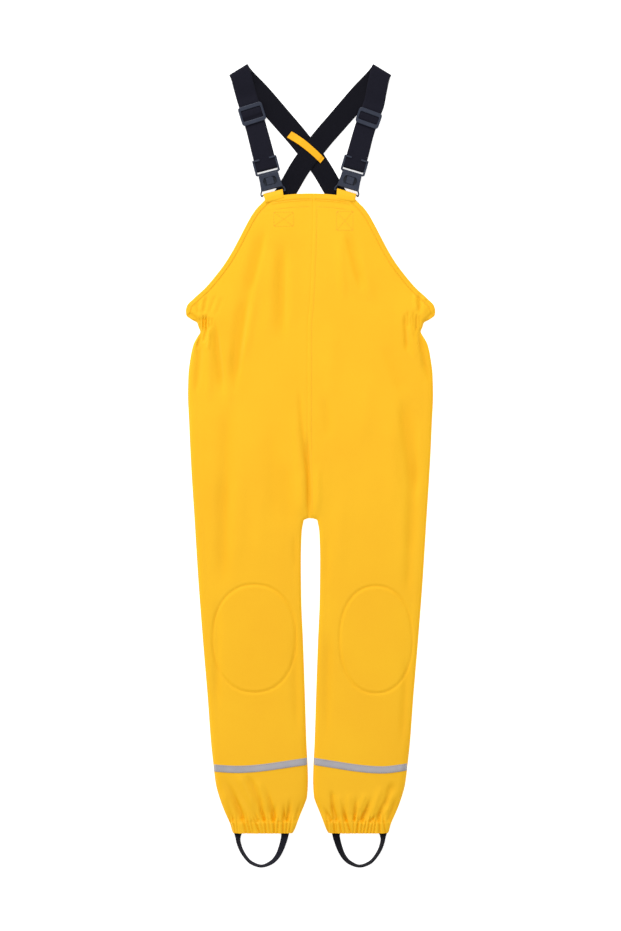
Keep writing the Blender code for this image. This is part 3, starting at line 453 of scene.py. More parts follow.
def lean_axes(side: Side, lean: float) -> tuple[Points, Points]:
    """Across and down directions of something that leans by so many degrees, for its side.

    Args:
        side: the half that it is on.
        lean: the lean in degrees.

    Returns:
        Unit directions across it and down it.
    """
    angle = math.radians(lean)
    across = np.array([math.cos(angle), -side.value * math.sin(angle)])
    return across, np.array([-side.value * math.sin(angle), -math.cos(angle)])


def make_piece(name: str, points: Points, faces: Iterable[tuple[int, ...]], material: Material,
               smooth_angle: float = 50.0) -> Piece:
    """A mesh object from points in millimetres.

    Args:
        name: the piece's name.
        points: its points.
        faces: corner numbers of its faces.
        material: its finish.
        smooth_angle: the angle in degrees over which an edge stays sharp.

    Returns:
        The linked object, riding on the garment's one body.
    """
    mesh = bpy.data.meshes.new(name)
    mesh.from_pydata((np.asarray(points, float) * MM).tolist(), [], [tuple(map(int, f)) for f in faces])
    mesh.materials.append(material)
    mesh.shade_smooth()
    mesh.set_sharp_from_angle(angle=math.radians(smooth_angle))
    made = bpy.data.objects.new(name, mesh)
    bpy.context.scene.collection.objects.link(made)
    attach(made, "root")
    return made


def spread_uv(piece: Piece, across: Points, along: Points, name: str = "cloth_mm") -> None:
    """Stores two numbers at every point, as a UV map: by default a place on the cloth in millimetres.

    Args:
        piece: the mesh object.
        across: each point's place across the strip.
        along: each point's place along it.
        name: the UV map's name.
    """
    layer = piece.data.uv_layers.new(name=name)
    corners = np.empty(len(piece.data.loops), int)
    piece.data.loops.foreach_get("vertex_index", corners)
    layer.data.foreach_set("uv", np.stack([across[corners], along[corners]], axis=1).ravel())


# Finishes


class NodeBoard:
    """A material's node tree, with short ways to add and join its nodes."""

    def __init__(self, name: str) -> None:
        """Starts a new material of that name.

        Args:
            name: the material's name.
        """
        self.material = bpy.data.materials.new(name)
        self.material.use_nodes = True
        self.tree = self.material.node_tree
        self.shader = self.tree.nodes["Principled BSDF"]

    def add(self, kind: str, values: dict[str, object] | None = None,
            **settings: object) -> bpy.types.Node:
        """A node of that kind.

        Args:
            kind: the node's type name without its ShaderNode prefix.
            values: numbers for its input sockets, by name or place.
            settings: its own settings.

        Returns:
            The new node.
        """
        node = self.tree.nodes.new("ShaderNode" + kind)
        for key, value in settings.items():
            setattr(node, key, value)
        for key, value in (values or {}).items():
            node.inputs[key].default_value = value
        return node

    def join(self, start: Socket, end: Socket) -> None:
        """Links one socket to another."""
        self.tree.links.new(start, end)

    def feed(self, name: str, start: Socket) -> None:
        """Links a socket to one of the shader's own."""
        self.join(start, self.shader.inputs[name])

    def maths(self, operation: str, first: object, second: object = 0.0) -> Socket:
        """The result of one sum on two sockets or numbers.

        Args:
            operation: the sum's name.
            first: a socket or a number.
            second: a socket or a number.

        Returns:
            The result's socket.
        """
        node = self.add("Math", operation=operation)
        for place, value in enumerate((first, second)):
            if isinstance(value, (int, float)):
                node.inputs[place].default_value = value
            else:
                self.join(value, node.inputs[place])
        return node.outputs[0]

    def mixed(self, first: Socket, much: float, second: Socket, little: float) -> Socket:
        """Two sockets added, each times its own share."""
        parts = [self.maths("MULTIPLY", *pair) for pair in ((first, much), (second, little))]
        return self.maths("ADD", *parts)

    def noise(self, place: Socket, scale: float, detail: float = 2.0) -> Socket:
        """Soft noise over a place, from 0 to 1.

        Args:
            place: where to read it.
            scale: cells in a metre.
            detail: how many finer layers.

        Returns:
            The noise's socket.
        """
        node = self.add("TexNoise", {"Scale": scale, "Detail": detail, "Roughness": 0.55})
        self.join(place, node.inputs["Vector"])
        return node.outputs["Fac"]

    def shades(self, share: Socket, low: Sequence[float], high: Sequence[float],
               start: float = 0.3, end: float = 0.7) -> Socket:
        """A colour that goes from low to high as the share goes from start to end.

        Args:
            share: what picks the colour.
            low: the first colour.
            high: the last colour.
            start: the share that gives low.
            end: the share that gives high.

        Returns:
            The colour's socket.
        """
        ramp = self.add("ValToRGB")
        ramp.color_ramp.elements[0].position = start
        ramp.color_ramp.elements[1].position = end
        ramp.color_ramp.elements[0].color = (*low, 1.0)
        ramp.color_ramp.elements[1].color = (*high, 1.0)
        self.join(share, ramp.inputs["Fac"])
        return ramp.outputs["Color"]

    def bump(self, height: Socket, depth: float, strength: float,
             under: Socket | None = None) -> Socket:
        """A bumped normal from a height.

        Args:
            height: the relief, about 0 to 1.
            depth: how deep it is, in metres.
            strength: how much of it shows.
            under: a normal that is bumped already.

        Returns:
            The normal's socket.
        """
        node = self.add("Bump", {"Strength": strength, "Distance": depth})
        self.join(height, node.inputs["Height"])
        if under is not None:
            self.join(under, node.inputs["Normal"])
        return node.outputs["Normal"]

    def object_place(self) -> Socket:
        """The place on the object, in metres."""
        return self.add("TexCoord").outputs["Object"]

    def finish(self, roughness: float, metallic: float = 0.0, sheen: float = 0.0,
               specular: float = 0.5) -> Material:
        """Sets the plain numbers and gives the material.

        Args:
            roughness: the surface's roughness.
            metallic: how metallic it is.
            sheen: the weight of its sheen.
            specular: the level of its reflections.

        Returns:
            The finished material.
        """
        self.shader.inputs["Roughness"].default_value = roughness
        self.shader.inputs["Metallic"].default_value = metallic
        self.shader.inputs["Sheen Weight"].default_value = sheen
        self.shader.inputs["Sheen Roughness"].default_value = 0.5
        self.shader.inputs["Specular IOR Level"].default_value = specular
        return self.material


@dataclass(frozen=True)
class RainCloth:
    """Yellow coated rain cloth: a satin skin over a fine plain weave."""

    name: str = "rain_cloth"
    light: Colour = (0.915, 0.494, 0.0095)
    deep: Colour = (0.895, 0.463, 0.007)
    # Painted shade: the colour that the cloth takes deep in folds, gathers and sewn rows.
    fold: Colour = (0.86, 0.42, 0.002)
    threads_per_metre: float = 2300.0
    roughness: float = 0.54
    uneven: float = 0.06
    specular: float = 0.22
    cloud_scale: float = 11.0
    speck_scale: float = 620.0
    crumple_scale: float = 75.0
    grain_scale: float = 1900.0
    crumple_depth: float = 0.0004
    grain_depth: float = 0.00004
    weave_depth: float = 0.00005

    def make(self) -> Material:
        """Builds the material.

        Returns:
            The cloth's material, with painted shade mixed into its colour where the piece's UV map says
            that it lies deep in a fold, gather or sewn row.
        """
        board = NodeBoard(self.name)
        place = board.object_place()
        broad = board.noise(place, self.cloud_scale, 3.0)
        fine = board.noise(place, self.speck_scale, 2.0)
        mottled = board.mixed(broad, 0.75, fine, 0.25)
        # Painted shade: the colour is mixed toward the fold colour by the depth that the piece's UV map
        # holds.
        folds = board.add("SeparateXYZ")
        board.join(board.add("UVMap", uv_map="fold_depth").outputs["UV"], folds.inputs[0])
        mix = board.add("Mix", {7: (*self.fold, 1.0)}, data_type="RGBA")
        board.join(folds.outputs["X"], mix.inputs[0])
        board.join(board.shades(mottled, self.deep, self.light, 0.35, 0.65), mix.inputs[6])
        board.feed("Base Color", mix.outputs[2])
        split = board.add("SeparateXYZ")
        board.join(place, split.inputs[0])
        threads = []
        for axis in ("X", "Y"):
            turns = board.maths("MULTIPLY", split.outputs[axis], self.threads_per_metre * math.pi)
            threads.append(board.maths("ABSOLUTE", board.maths("SINE", turns)))
        weave = board.maths("MAXIMUM", *threads)
        crumple = board.noise(place, self.crumple_scale, 3.0)
        normal = board.bump(crumple, self.crumple_depth, 0.35)
        normal = board.bump(board.noise(place, self.grain_scale, 1.0), self.grain_depth, 0.5, normal)
        board.feed("Normal", board.bump(weave, self.weave_depth, 0.35, normal))
        span = {"To Min": self.roughness - self.uneven, "To Max": self.roughness + self.uneven}
        rough = board.add("MapRange", span)
        board.join(broad, rough.inputs["Value"])
        board.feed("Roughness", rough.outputs["Result"])
        return board.finish(self.roughness, specular=self.specular)


@dataclass(frozen=True)
class Elastic:
    """Dark navy woven elastic with herringbone ribs, drawn on the strip's own millimetres."""

    name: str = "brace_elastic"
    low: Colour = (0.0015, 0.0014, 0.0026)
    high: Colour = (0.0130, 0.0128, 0.0240)
    # Painted shade on the strap's lower face.
    inner_shade: float = 0.3
    rib: float = 1.35
    column: float = 5.0
    slant: float = 0.62
    cord: float = 0.9
    fuzz_scale: float = 1400.0
    fuzz_depth: float = 0.00025
    rib_depth: float = 0.0003

    def make(self) -> Material:
        """Builds the material.

        Returns:
            The elastic's material, which reads the strip's millimetres from its UV map.
        """
        board = NodeBoard(self.name)
        spot = board.add("UVMap", uv_map="cloth_mm")
        split = board.add("SeparateXYZ")
        board.join(spot.outputs["UV"], split.inputs[0])
        across, along = split.outputs["X"], split.outputs["Y"]
        zigzag = board.maths("PINGPONG", across, self.column)
        slanted = board.maths("ADD", along, board.maths("MULTIPLY", zigzag, self.slant))
        rib = board.maths("SINE", board.maths("MULTIPLY", slanted, 2 * math.pi / self.rib))
        cord = board.maths("SINE", board.maths("MULTIPLY", across, 2 * math.pi / self.cord))
        relief = board.maths("ADD", board.mixed(rib, 0.35, cord, 0.15), 0.5)
        place = board.object_place()
        fuzz = board.noise(place, self.fuzz_scale, 3.0)
        mixed = board.mixed(relief, 0.6, fuzz, 0.4)
        # Painted shade: the strap's lower face, as laid out in its UV map, is drawn darker, standing in
        # for shade where that face shows.
        inner = board.maths("GREATER_THAN", across, (UPPER_FACE + LOWER_FACE) / 2)
        mixed = board.maths("SUBTRACT", mixed, board.maths("MULTIPLY", inner, self.inner_shade))
        board.feed("Base Color", board.shades(mixed, self.low, self.high, 0.0, 0.85))
        normal = board.bump(fuzz, self.fuzz_depth, 0.5)
        board.feed("Normal", board.bump(relief, self.rib_depth, 0.8, normal))
        return board.finish(0.9, sheen=0.02, specular=0.12)


@dataclass(frozen=True)
class MouldedPlastic:
    """Slate-blue moulded plastic with a fine spark-eroded skin."""

    name: str = "buckle_plastic"
    low: Colour = (0.015, 0.020, 0.037)
    high: Colour = (0.021, 0.027, 0.049)
    grain_scale: float = 2600.0
    grain_depth: float = 0.00003
    cloud_scale: float = 90.0
    gloss_scale: float = 240.0
    glossiest: float = 0.3
    dullest: float = 0.46

    def make(self) -> Material:
        """Builds the material.

        Returns:
            The plastic's material.
        """
        board = NodeBoard(self.name)
        place = board.object_place()
        grain = board.noise(place, self.grain_scale, 2.0)
        cloud = board.noise(place, self.cloud_scale, 2.0)
        board.feed("Base Color", board.shades(cloud, self.low, self.high))
        board.feed("Normal", board.bump(grain, self.grain_depth, 0.5))
        rough = board.add("MapRange", {"To Min": self.glossiest, "To Max": self.dullest})
        board.join(board.noise(place, self.gloss_scale, 2.0), rough.inputs["Value"])
        board.feed("Roughness", rough.outputs["Result"])
        return board.finish((self.glossiest + self.dullest) / 2, specular=0.32)


@dataclass(frozen=True)
class ReflectiveTape:
    """Silver-grey tape with glass beads in a woven ground."""

    name: str = "reflective_tape"
    low: Colour = (0.335, 0.32, 0.345)
    high: Colour = (0.43, 0.41, 0.43)
    bead_scale: float = 2600.0
    bead_depth: float = 0.00005
    cloud_scale: float = 60.0

    def make(self) -> Material:
        """Builds the material.

        Returns:
            The tape's material.
        """
        board = NodeBoard(self.name)
        place = board.object_place()
        beads = board.add("TexVoronoi", {"Scale": self.bead_scale})
        board.join(place, beads.inputs["Vector"])
        mixed = board.mixed(board.noise(place, self.cloud_scale), 0.6, beads.outputs["Distance"], 0.5)
        board.feed("Base Color", board.shades(mixed, self.low, self.high, 0.3, 0.8))
        board.feed("Normal", board.bump(beads.outputs["Distance"], self.bead_depth, 0.4))
        return board.finish(0.5, metallic=0.25, specular=0.4)


@dataclass(frozen=True)
class SewingThread:
    """Twisted sewing thread of one colour."""

    name: str
    colour: Colour
    shadow: float = 0.8
    ply_scale: float = 900.0
    twist_scale: float = 4000.0
    twist_depth: float = 0.00005

    def make(self) -> Material:
        """Builds the material.

        Returns:
            The thread's material.
        """
        board = NodeBoard(self.name)
        place = board.object_place()
        darker = tuple(self.shadow * c for c in self.colour)
        board.feed("Base Color", board.shades(board.noise(place, self.ply_scale), darker, self.colour))
        board.feed("Normal", board.bump(board.noise(place, self.twist_scale), self.twist_depth, 0.6))
        return board.finish(0.6, sheen=0.2, specular=0.3)


class Wardrobe:
    """Every finish, made once."""

    def __init__(self) -> None:
        """Makes the finishes."""
        self.cloth = RainCloth().make()
        # Painted shade: the keeper's copy of the rain cloth is drawn darker and more orange, standing in
        # for shade on it.
        self.keeper_cloth_painted_shade = RainCloth("keeper_cloth_painted_shade", (0.93, 0.44, 0.006), (0.9, 0.41, 0.005)).make()
        self.knee_cloth = RainCloth(name="knee_cloth").make()
        self.elastic = Elastic().make()
        self.foot_elastic = Elastic(name="foot_elastic", rib=1.1, column=2.5, slant=0.3).make()
        self.plastic = MouldedPlastic().make()
        self.tape = ReflectiveTape().make()
        self.yellow_thread = SewingThread("yellow_thread", (0.93, 0.47, 0.008)).make()
        self.grey_thread = SewingThread("grey_thread", (0.3, 0.29, 0.3)).make()


# The form of the cloth


def oval_offset(points: Points, oval: Oval) -> Points:
    """Roughly how far each point lies outside an oval, below 0 inside it.

    Args:
        points: places in millimetres.
        oval: the knee oval.

    Returns:
        A rough distance at each place.
    """
    across = np.abs(points[:, 0] - oval.x) / oval.half_x
    up = np.abs(points[:, 1] - oval.y) / oval.half_y
    radius = (across**OVAL_FULLNESS + up**OVAL_FULLNESS) ** (1 / OVAL_FULLNESS)
    slope = np.hypot(across / oval.half_x, up / oval.half_y) / np.maximum(across**2 + up**2, TINY) ** 0.5
    return (radius - 1) / np.maximum(slope, 1e-6)


def unit_oval(count: int) -> Points:
    """A closed ring of points on a full oval with half sizes of 1.

    Args:
        count: how many points.

    Returns:
        The ring's points.
    """
    angles = np.linspace(0, 2 * math.pi, count, endpoint=False)
    circle = np.column_stack([np.cos(angles), np.sin(angles)])
    return np.sign(circle) * np.abs(circle) ** (2 / OVAL_FULLNESS)


def crease_height(points: Points, crease: Crease, rise: float = 0.3) -> Points:
    """The height that one crease adds at each point, at its full depth from a share of its length on.

    Args:
        points: places in millimetres.
        crease: the fold.
        rise: the share of its length that it deepens over.

    Returns:
        The height at each place.
    """
    start, end = np.array([crease.x0, crease.y0]), np.array([crease.x1, crease.y1])
    length = np.linalg.norm(end - start)
    ahead = (end - start) / length
    along = (points - start) @ ahead / length
    off = ahead[0] * (points[:, 1] - start[1]) - ahead[1] * (points[:, 0] - start[0])
    off = off - crease.bow * 4 * np.clip(along * (1 - along), 0, 1)
    fall = max(CREASE_FALL, rise + 0.1)
    taper = smooth_step(along, 0.0, rise) * (1 - smooth_step(along, fall, 1.0))
    width = crease.half_width * (1 - crease.lean * np.sign(off))
    return bell(off, crease.depth, width) * taper


@dataclass
class ClothForm:
    """Heights of the front's upper face and of the back's lower face, over any point."""

    puff: float = 1.7
    puff_reach: float = 16.0
    droop_start: float = 2.0
    droop_end: float = 72.0
    blend: float = 5.0
    cuff_rise: float = 1.5
    cuff_puff: float = 2.3
    cuff_round: float = 4.0
    swell_span: Pair = (240.0, 384.0)
    swell_fall: float = 0.4
    swell_end: float = 394.0
    waist_puff: float = 1.5
    waist_round: float = 2.0
    waist_y: float = 171.0
    waist_reach: float = 26.0
    waist_span: Pair = (98.0, 118.0)
    crotch_puff: float = 1.4
    crotch_y: float = -24.0
    crotch_reach: Pair = (22.0, 46.0)
    pleat_spread: float = 0.05
    pleat_fade: float = 7.0
    pleat_crest: float = 0.85
    pleat_swing: float = 1.55
    hem_extra: float = 0.55
    hem_step: float = 0.8
    arm_hem: float = 6.4
    arm_edge_dip: float = 0.45
    top_hem: float = 8.2
    second_row: float = 15.8
    stitch_inset: float = 6.0
    arm_press: Pair = (0.8, 0.7)
    top_press: Pair = (0.6, 0.6)
    casing_press: Pair = (0.5, 0.8)
    second_press: Pair = (0.16, 0.7)
    knee_dip: float = 0.75
    knee_slope: float = 3.2
    edge_curl: float = 0.7
    curl_width: float = 1.7
    curl_top: float = 175.0
    edge_roll: float = 0.35
    roll_width: float = 6.0
    seam_depth: float = 0.25
    seam_width: float = 0.9
    fell_row: float = 4.6
    allowance: float = 0.4
    inner_allowance: float = 0.7
    outer_ridge: Row = (0.5, 2.5, 7.5, 10.5)
    inner_ridge: Row = (0.5, 2.0, 6.0, 8.5)
    allowance_top: float = 140.0
    under_edge: Pair = (0.75, 2.2)
    under_seam: Pair = (0.35, 0.9)
    under_waist: float = 0.55
    under_waist_y: float = 163.5
    brace_cover: float = 12.0
    brace_on_back: float = 283.0
    sink: float = 0.6
    fold_rise: float = 0.8
    # Painted shade: how deep a crease must be to be fully shaded, the shares of painted shade in gather
    # valleys and sewn rows, and how far above the casing it reaches.
    dark_depth: float = 3.2
    pleat_shade: float = 0.7
    row_shade: float = 0.9
    shade_reach: float = 6.0
    layers: list[tuple[Line, float]] = field(default_factory=list)

    def __post_init__(self) -> None:
        """Works out what the front lies on, and the lines that its edges follow."""
        self.sides = {
            (side, name): [(side.value * x, y) for x, y in edge_line(rows, 4.0)]
            for side in Side
            for name, rows in (("outer", SIDE_EDGE), ("inner", INSEAM))
        }
        arm = edge_line(SIDE_EDGE[:ARMHOLE_STATIONS], 3.0)
        self.armholes = {side: [(side.value * x, y) for x, y in arm] for side in Side}
        self.layers = [(self.back_outline(side, 8.0), BACK_TOP) for side in Side]
        for side, brace in BRACES.items():
            rows = [row for row in BRACE_BACK if row.y < TOP_Y + self.brace_cover]
            line = [(side.value * row.across, row.y) for row in rows]
            on_back = [p for p in line if p[1] < self.brace_on_back]
            self.layers.append((strip_polygon(line, WEB_HALF), WEB))
            self.layers.append((strip_polygon(on_back, WEB_HALF), BACK_TOP + GAP + WEB))
            self.layers.append((strip_polygon(self.tab_line(side, brace), TAB_HALF), self.tab_top()))
            for rows_in in (FOOT_STRAP_ROWS[:2], FOOT_STRAP_ROWS[-2:]):
                strap = [(side.value * row.x, row.y) for row in rows_in]
                self.layers.append((strip_polygon(strap, FOOT_STRAP_HALF), BACK_TOP + GAP + FOOT_STRAP))

    @staticmethod
    def tab_low() -> float:
        """The middle height of a tab's lower layer behind the bib."""
        return WEB + GAP + TAB_CLOTH / 2

    @classmethod
    def tab_top(cls) -> float:
        """The top of a tab's layer behind the bib."""
        return cls.tab_low() + TAB_CLOTH / 2

    @staticmethod
    def tab_line(side: Side, brace: BracePlaces) -> Line:
        """The middle line of a tab, from its sewn end to the buckle's bar.

        Args:
            side: the tab's half.
            brace: where that brace's pieces lie.

        Returns:
            The line's two ends.
        """
        _, down = lean_axes(side, brace.buckle_lean)
        bar = np.array([side.value * brace.buckle_x, brace.buckle_y]) + down * TAB_BAR_V
        return [(side.value * brace.tab_x, brace.tab_y), (float(bar[0]), float(bar[1]))]

    @staticmethod
    def back_outline(side: Side, step: float) -> Line:
        """The back half's outline, from the centre seam's foot up and round.

        Args:
            side: the half.
            step: the distance between points.

        Returns:
            The outline's points in order.
        """
        below = [row for row in SIDE_EDGE if row.y < BACK_ARMHOLE[-1].y]
        rows = edge_line(BACK_ARMHOLE, step)[:-1] + edge_line([BACK_ARMHOLE[-1]] + below, step)
        start = side.value * GAP / 2
        outline = [(start, CROTCH_Y), (start, BACK_ARMHOLE[0].y)]
        outline += [(side.value * x, y) for x, y in rows]
        return outline + [(side.value * x, y) for x, y in edge_line(INSEAM, step)[::-1]]

    def support(self, points: Points) -> Points:
        """The height of what the front lies on.

        Args:
            points: places in millimetres.

        Returns:
            The height at each place.
        """
        held = np.zeros(len(points))
        for polygon, top in self.layers:
            far = outside_distance(points, polygon)
            held += (top * (1 - smooth_step(far, self.droop_start, self.droop_end))) ** self.blend
        return GAP + held ** (1 / self.blend)

    def from_side(self, points: Points, side: Side) -> tuple[Points, Points]:
        """Distances from a half's outer edge and from its inner leg edge.

        Args:
            points: places in millimetres.
            side: the half that they are on.

        Returns:
            Both distances at each place.
        """
        return (
            line_distance(points, self.sides[(side, "outer")]),
            line_distance(points, self.sides[(side, "inner")]),
        )

    def gathers(self, points: Points, side: Side) -> Points:
        """The ridges and valleys of a cuff.

        Args:
            points: places in millimetres.
            side: the half that they are on.

        Returns:
            The height that they add at each place.
        """
        y = points[:, 1]
        down = (CASING_Y - y) / (CASING_Y - HEM_Y)
        above = np.maximum(y - CASING_Y, 0)
        valley = np.zeros(len(points))
        for pleat in CUFF_PLEATS[side]:
            middle = pleat.top_x + (pleat.hem_x - pleat.top_x) * down
            width = pleat.width * (1 + self.pleat_spread * above)
            valley = np.maximum(valley, bell(points[:, 0] - middle, pleat.depth, width))
        fade = bell(above, 1.0, self.pleat_fade)
        return self.cuff_rise * fade * (self.pleat_crest - self.pleat_swing * valley)

    def hems(self, points: Points, side: Side) -> Points:
        """How much the turned hems and their sewn lines add.

        Args:
            points: places in millimetres.
            side: the half that they are on.

        Returns:
            The height that they add at each place.
        """
        y = points[:, 1]
        cuff = 1 - smooth_step(y, CASING_Y, CASING_Y + 1.0)
        drop = bib_top(points[:, 0]) - y
        top = 1 - smooth_step(drop, self.top_hem, self.top_hem + self.hem_step)
        arm_far = line_distance(points, self.armholes[side])
        arm = 1 - smooth_step(arm_far, self.arm_hem, self.arm_hem + self.hem_step)
        raised = self.hem_extra * np.maximum(np.maximum(cuff, top), arm)
        return raised - self.sewn_rows(points, side) - bell(arm_far, self.arm_edge_dip, 1.0)

    def sewn_rows(self, points: Points, side: Side) -> Points:
        """How deep the sewn rows of the hems press in.

        Args:
            points: places in millimetres.
            side: the half that they are on.

        Returns:
            A depth at each place.
        """
        y = points[:, 1]
        drop = bib_top(points[:, 0]) - y
        arm_far = line_distance(points, self.armholes[side])
        sewn = bell(arm_far - self.stitch_inset, *self.arm_press) * (drop > self.top_hem - 2)
        sewn += bell(drop - self.top_hem + 1.2, *self.top_press) * (arm_far > self.arm_hem - 2)
        sewn += bell(y - CASING_Y + 0.6, *self.casing_press)
        sewn += bell(drop - self.second_row, *self.second_press) * (arm_far > self.arm_hem + 1)
        return sewn

    def folds(self, points: Points) -> Points:
        """The height that all creases add at each point."""
        body = sum(crease_height(points, crease) for crease in CREASES)
        return body + sum(crease_height(points, crease, self.fold_rise) for crease in CUFF_CREASES)

    def shade(self, points: Points) -> Points:
        """How much painted shade the cloth's colour takes at each point, deeper in creases, gather
        valleys and sewn rows.

        Args:
            points: places in millimetres.

        Returns:
            A share from 0 to 1 at each place.
        """
        deep = np.clip(-self.folds(points) / self.dark_depth, 0, 1)
        for side in Side:
            half = points[:, 0] * side.value > 0
            cuff = half & (points[:, 1] < CASING_Y + self.shade_reach)
            valley = np.clip(-self.gathers(points[cuff], side), 0, 1) * self.pleat_shade
            deep[cuff] = np.maximum(deep[cuff], valley)
            rows = self.row_shade * self.sewn_rows(points[half], side)
            deep[half] = np.clip(deep[half] + rows, 0, 1)
        return deep

    def front_top(self, points: Points, side: Side, with_knee: bool = True) -> Points:
        """The front's upper face.

        Args:
            points: places in millimetres.
            side: the half that they are on.
            with_knee: whether the hollow under the knee oval counts.

        Returns:
            The height at each place.
        """
        outer, inner = self.from_side(points, side)
        near = np.minimum(outer, inner)
        x, y = points[:, 0], points[:, 1]
        full = self.puff * (1 - np.exp(-near / self.puff_reach))
        fall = self.swell_fall * smooth_step(-y, self.swell_end, -CASING_Y)
        swell = smooth_step(-y, *self.swell_span) * (1 - fall)
        full += self.cuff_puff * swell * (1 - np.exp(-near / self.cuff_round))
        waist = bell(y - self.waist_y, 1.0, self.waist_reach) * smooth_step(np.abs(x), *self.waist_span)
        full += self.waist_puff * waist * (1 - np.exp(-near / self.waist_round))
        across, up = self.crotch_reach
        full += self.crotch_puff * np.exp(-(((y - self.crotch_y) / up) ** 2) - ((x / across) ** 2))
        full += self.folds(points)
        full = np.maximum(full, self.sink * np.tanh(full))
        high = self.support(points) + full + CLOTH + self.hems(points, side)
        cuffs = y < CASING_Y + GATHER_REACH
        high[cuffs] += self.gathers(points[cuffs], side)
        self.work_seams(high, points, side, (outer, inner))
        if with_knee:
            off = oval_offset(points, KNEES[side])
            high -= self.knee_dip * (1 - smooth_step(off, 0.0, self.knee_slope))
        return high

    @staticmethod
    def ridge(far: Points, rows: Sequence[float]) -> Points:
        """A flat ridge that starts, is full, ends and is gone at four distances."""
        return smooth_step(far, rows[0], rows[1]) * (1 - smooth_step(far, rows[2], rows[3]))

    def work_seams(self, high: Points, points: Points, side: Side, edges: tuple[Points, Points]) -> None:
        """Works the centre seam, the allowances under the cloth and the curled edges into the front.

        Args:
            high: the front's heights, which change.
            points: their places in millimetres.
            side: the half that they are on.
            edges: distances from the half's outer edge and from its inner leg edge.
        """
        outer, inner = edges
        y = points[:, 1]
        seam = float(side.value) * (points[:, 0] - half_width(CENTRE_SEAM, y))
        above = y > CROTCH_Y
        high -= np.where(above, bell(seam, self.seam_depth, self.seam_width), 0.0)
        if side is Side.RIGHT:
            high += np.where(above, bell(seam - self.fell_row / 2, 0.06, 2.0), 0.0)
            high -= np.where(above, bell(seam - self.fell_row, 0.16, 0.8), 0.0)
        uneven = 0.75 + 0.25 * np.sin(y / 31.0 + side.value)
        ridge = self.ridge(outer, self.outer_ridge)
        high += np.where(y < self.allowance_top, self.allowance * ridge * uneven, 0.0)
        ridge = self.ridge(inner, self.inner_ridge)
        high += np.where(y < CROTCH_Y, self.inner_allowance * self.allowance * ridge * uneven, 0.0)
        for far, rolled in ((outer, y < self.curl_top), (inner, y < CROTCH_Y + 3)):
            high -= np.where(rolled, bell(far, self.edge_curl, self.curl_width), 0.0)
            high -= np.where(rolled, self.edge_roll * np.exp(-far / self.roll_width), 0.0)

    def back_low(self, points: Points, side: Side) -> Points:
        """The back's lower face, which lies on the surface and lifts a little at its edges and creases.

        Args:
            points: places in millimetres.
            side: the half that they are on.

        Returns:
            The height at each place.
        """
        x, y = points[:, 0], points[:, 1]
        low = bell(np.minimum(*self.from_side(points, side)), *self.under_edge)
        low -= sum(crease_height(points, crease) for crease in UNDERSIDE_CREASES)
        waist = bell(y - self.under_waist_y, 1.0, 10.0)
        wave = 0.5 - 0.5 * np.cos(x * 2 * math.pi / 7.3 + 1.3 * np.sin(x / 9.0))
        low += self.under_waist * waist * wave
        cuffs = y < CASING_Y + GATHER_REACH
        low[cuffs] += np.maximum(0.6 - 0.5 * self.gathers(points[cuffs], side), 0) * 0.6
        low += bell(np.abs(x) - GAP / 2, *self.under_seam) * (y > CROTCH_Y)
        return np.clip(low, 0.0, BACK_TOP - 0.35)


@dataclass
class PanelMesh:
    """A panel's outline filled with an even triangle mesh, finer where the cloth is worked."""

    outline: Line
    inside: Callable[[Points], Points]
    fine: Callable[[Points], Points]
    lines: list[Line] = field(default_factory=list)
    step: float = 1.15
    cell: float = 0.25
    margin: float = 4.0
    border: int = 8
    clear: float = 0.8

    def crowded(self, points: Points, reach: float) -> Points:
        """Whether each point lies too close to the outline or to a line of the panel.

        Args:
            points: places in millimetres.
            reach: how close is too close.

        Returns:
            True or false for each place.
        """
        rows = [np.array(line, float) for line in [self.outline + self.outline[:1], *self.lines]]
        dense = []
        for row in rows:
            for a, b in zip(row, row[1:]):
                count = max(1, int(np.linalg.norm(b - a) / self.cell))
                dense.append(a + (b - a) * (np.arange(count) / count)[:, None])
        marks = np.vstack(dense)
        low = points.min(axis=0) - self.margin
        size = np.ceil((points.max(axis=0) + self.margin - low) / self.cell).astype(int) + 1
        grid = np.zeros(size, bool)
        at = ((marks - low) / self.cell).astype(int)
        at = np.clip(at, self.border, size - self.border - 1)
        cells = int(reach / self.cell)
        for dx in range(-cells, cells + 1):
            for dy in range(-cells, cells + 1):
                if dx * dx + dy * dy <= cells * cells:
                    grid[at[:, 0] + dx, at[:, 1] + dy] = True
        spot = np.clip(((points - low) / self.cell).astype(int), 0, size - 1)
        return grid[spot[:, 0], spot[:, 1]]

    def fill(self) -> tuple[Points, Faces]:
        """Fills the outline.

        Returns:
            The mesh's points and triangles.
        """
        xs, ys = [p[0] for p in self.outline], [p[1] for p in self.outline]
        rise = math.sqrt(0.75)
        rows = int((max(ys) - min(ys)) / (self.step * rise)) + 1
        columns = int((max(xs) - min(xs)) / self.step) + 1
        j, i = np.meshgrid(np.arange(rows), np.arange(-rows // 2, columns), indexing="ij")
        i, j = i.ravel(), j.ravel()
        spots = np.stack([min(xs) + (i + j / 2) * self.step, min(ys) + j * self.step * rise], axis=1)
        whole = (i % 2 == 0) & (j % 2 == 0)
        keep = self.inside(spots)
        spots, whole = spots[keep], whole[keep]
        spots = spots[whole | self.fine(spots)]
        spots = spots[~self.crowded(spots, self.clear * self.step)]
        points: Line = []
        edges = []
        paths = [(self.outline, True)] + [(line, line[0] == line[-1]) for line in self.lines]
        for path, closed in paths:
            path = path[:-1] if closed and path[0] == path[-1] else path
            first, count = len(points), len(path)
            points += path
            last = count if closed else count - 1
            edges += [(first + k, first + (k + 1) % count) for k in range(last)]
        points += [tuple(p) for p in spots]
        found = delaunay_2d_cdt([Vector(p) for p in points], edges, [], 1, 1e-5)
        return np.array([tuple(v) for v in found[0]]), [tuple(face) for face in found[2]]


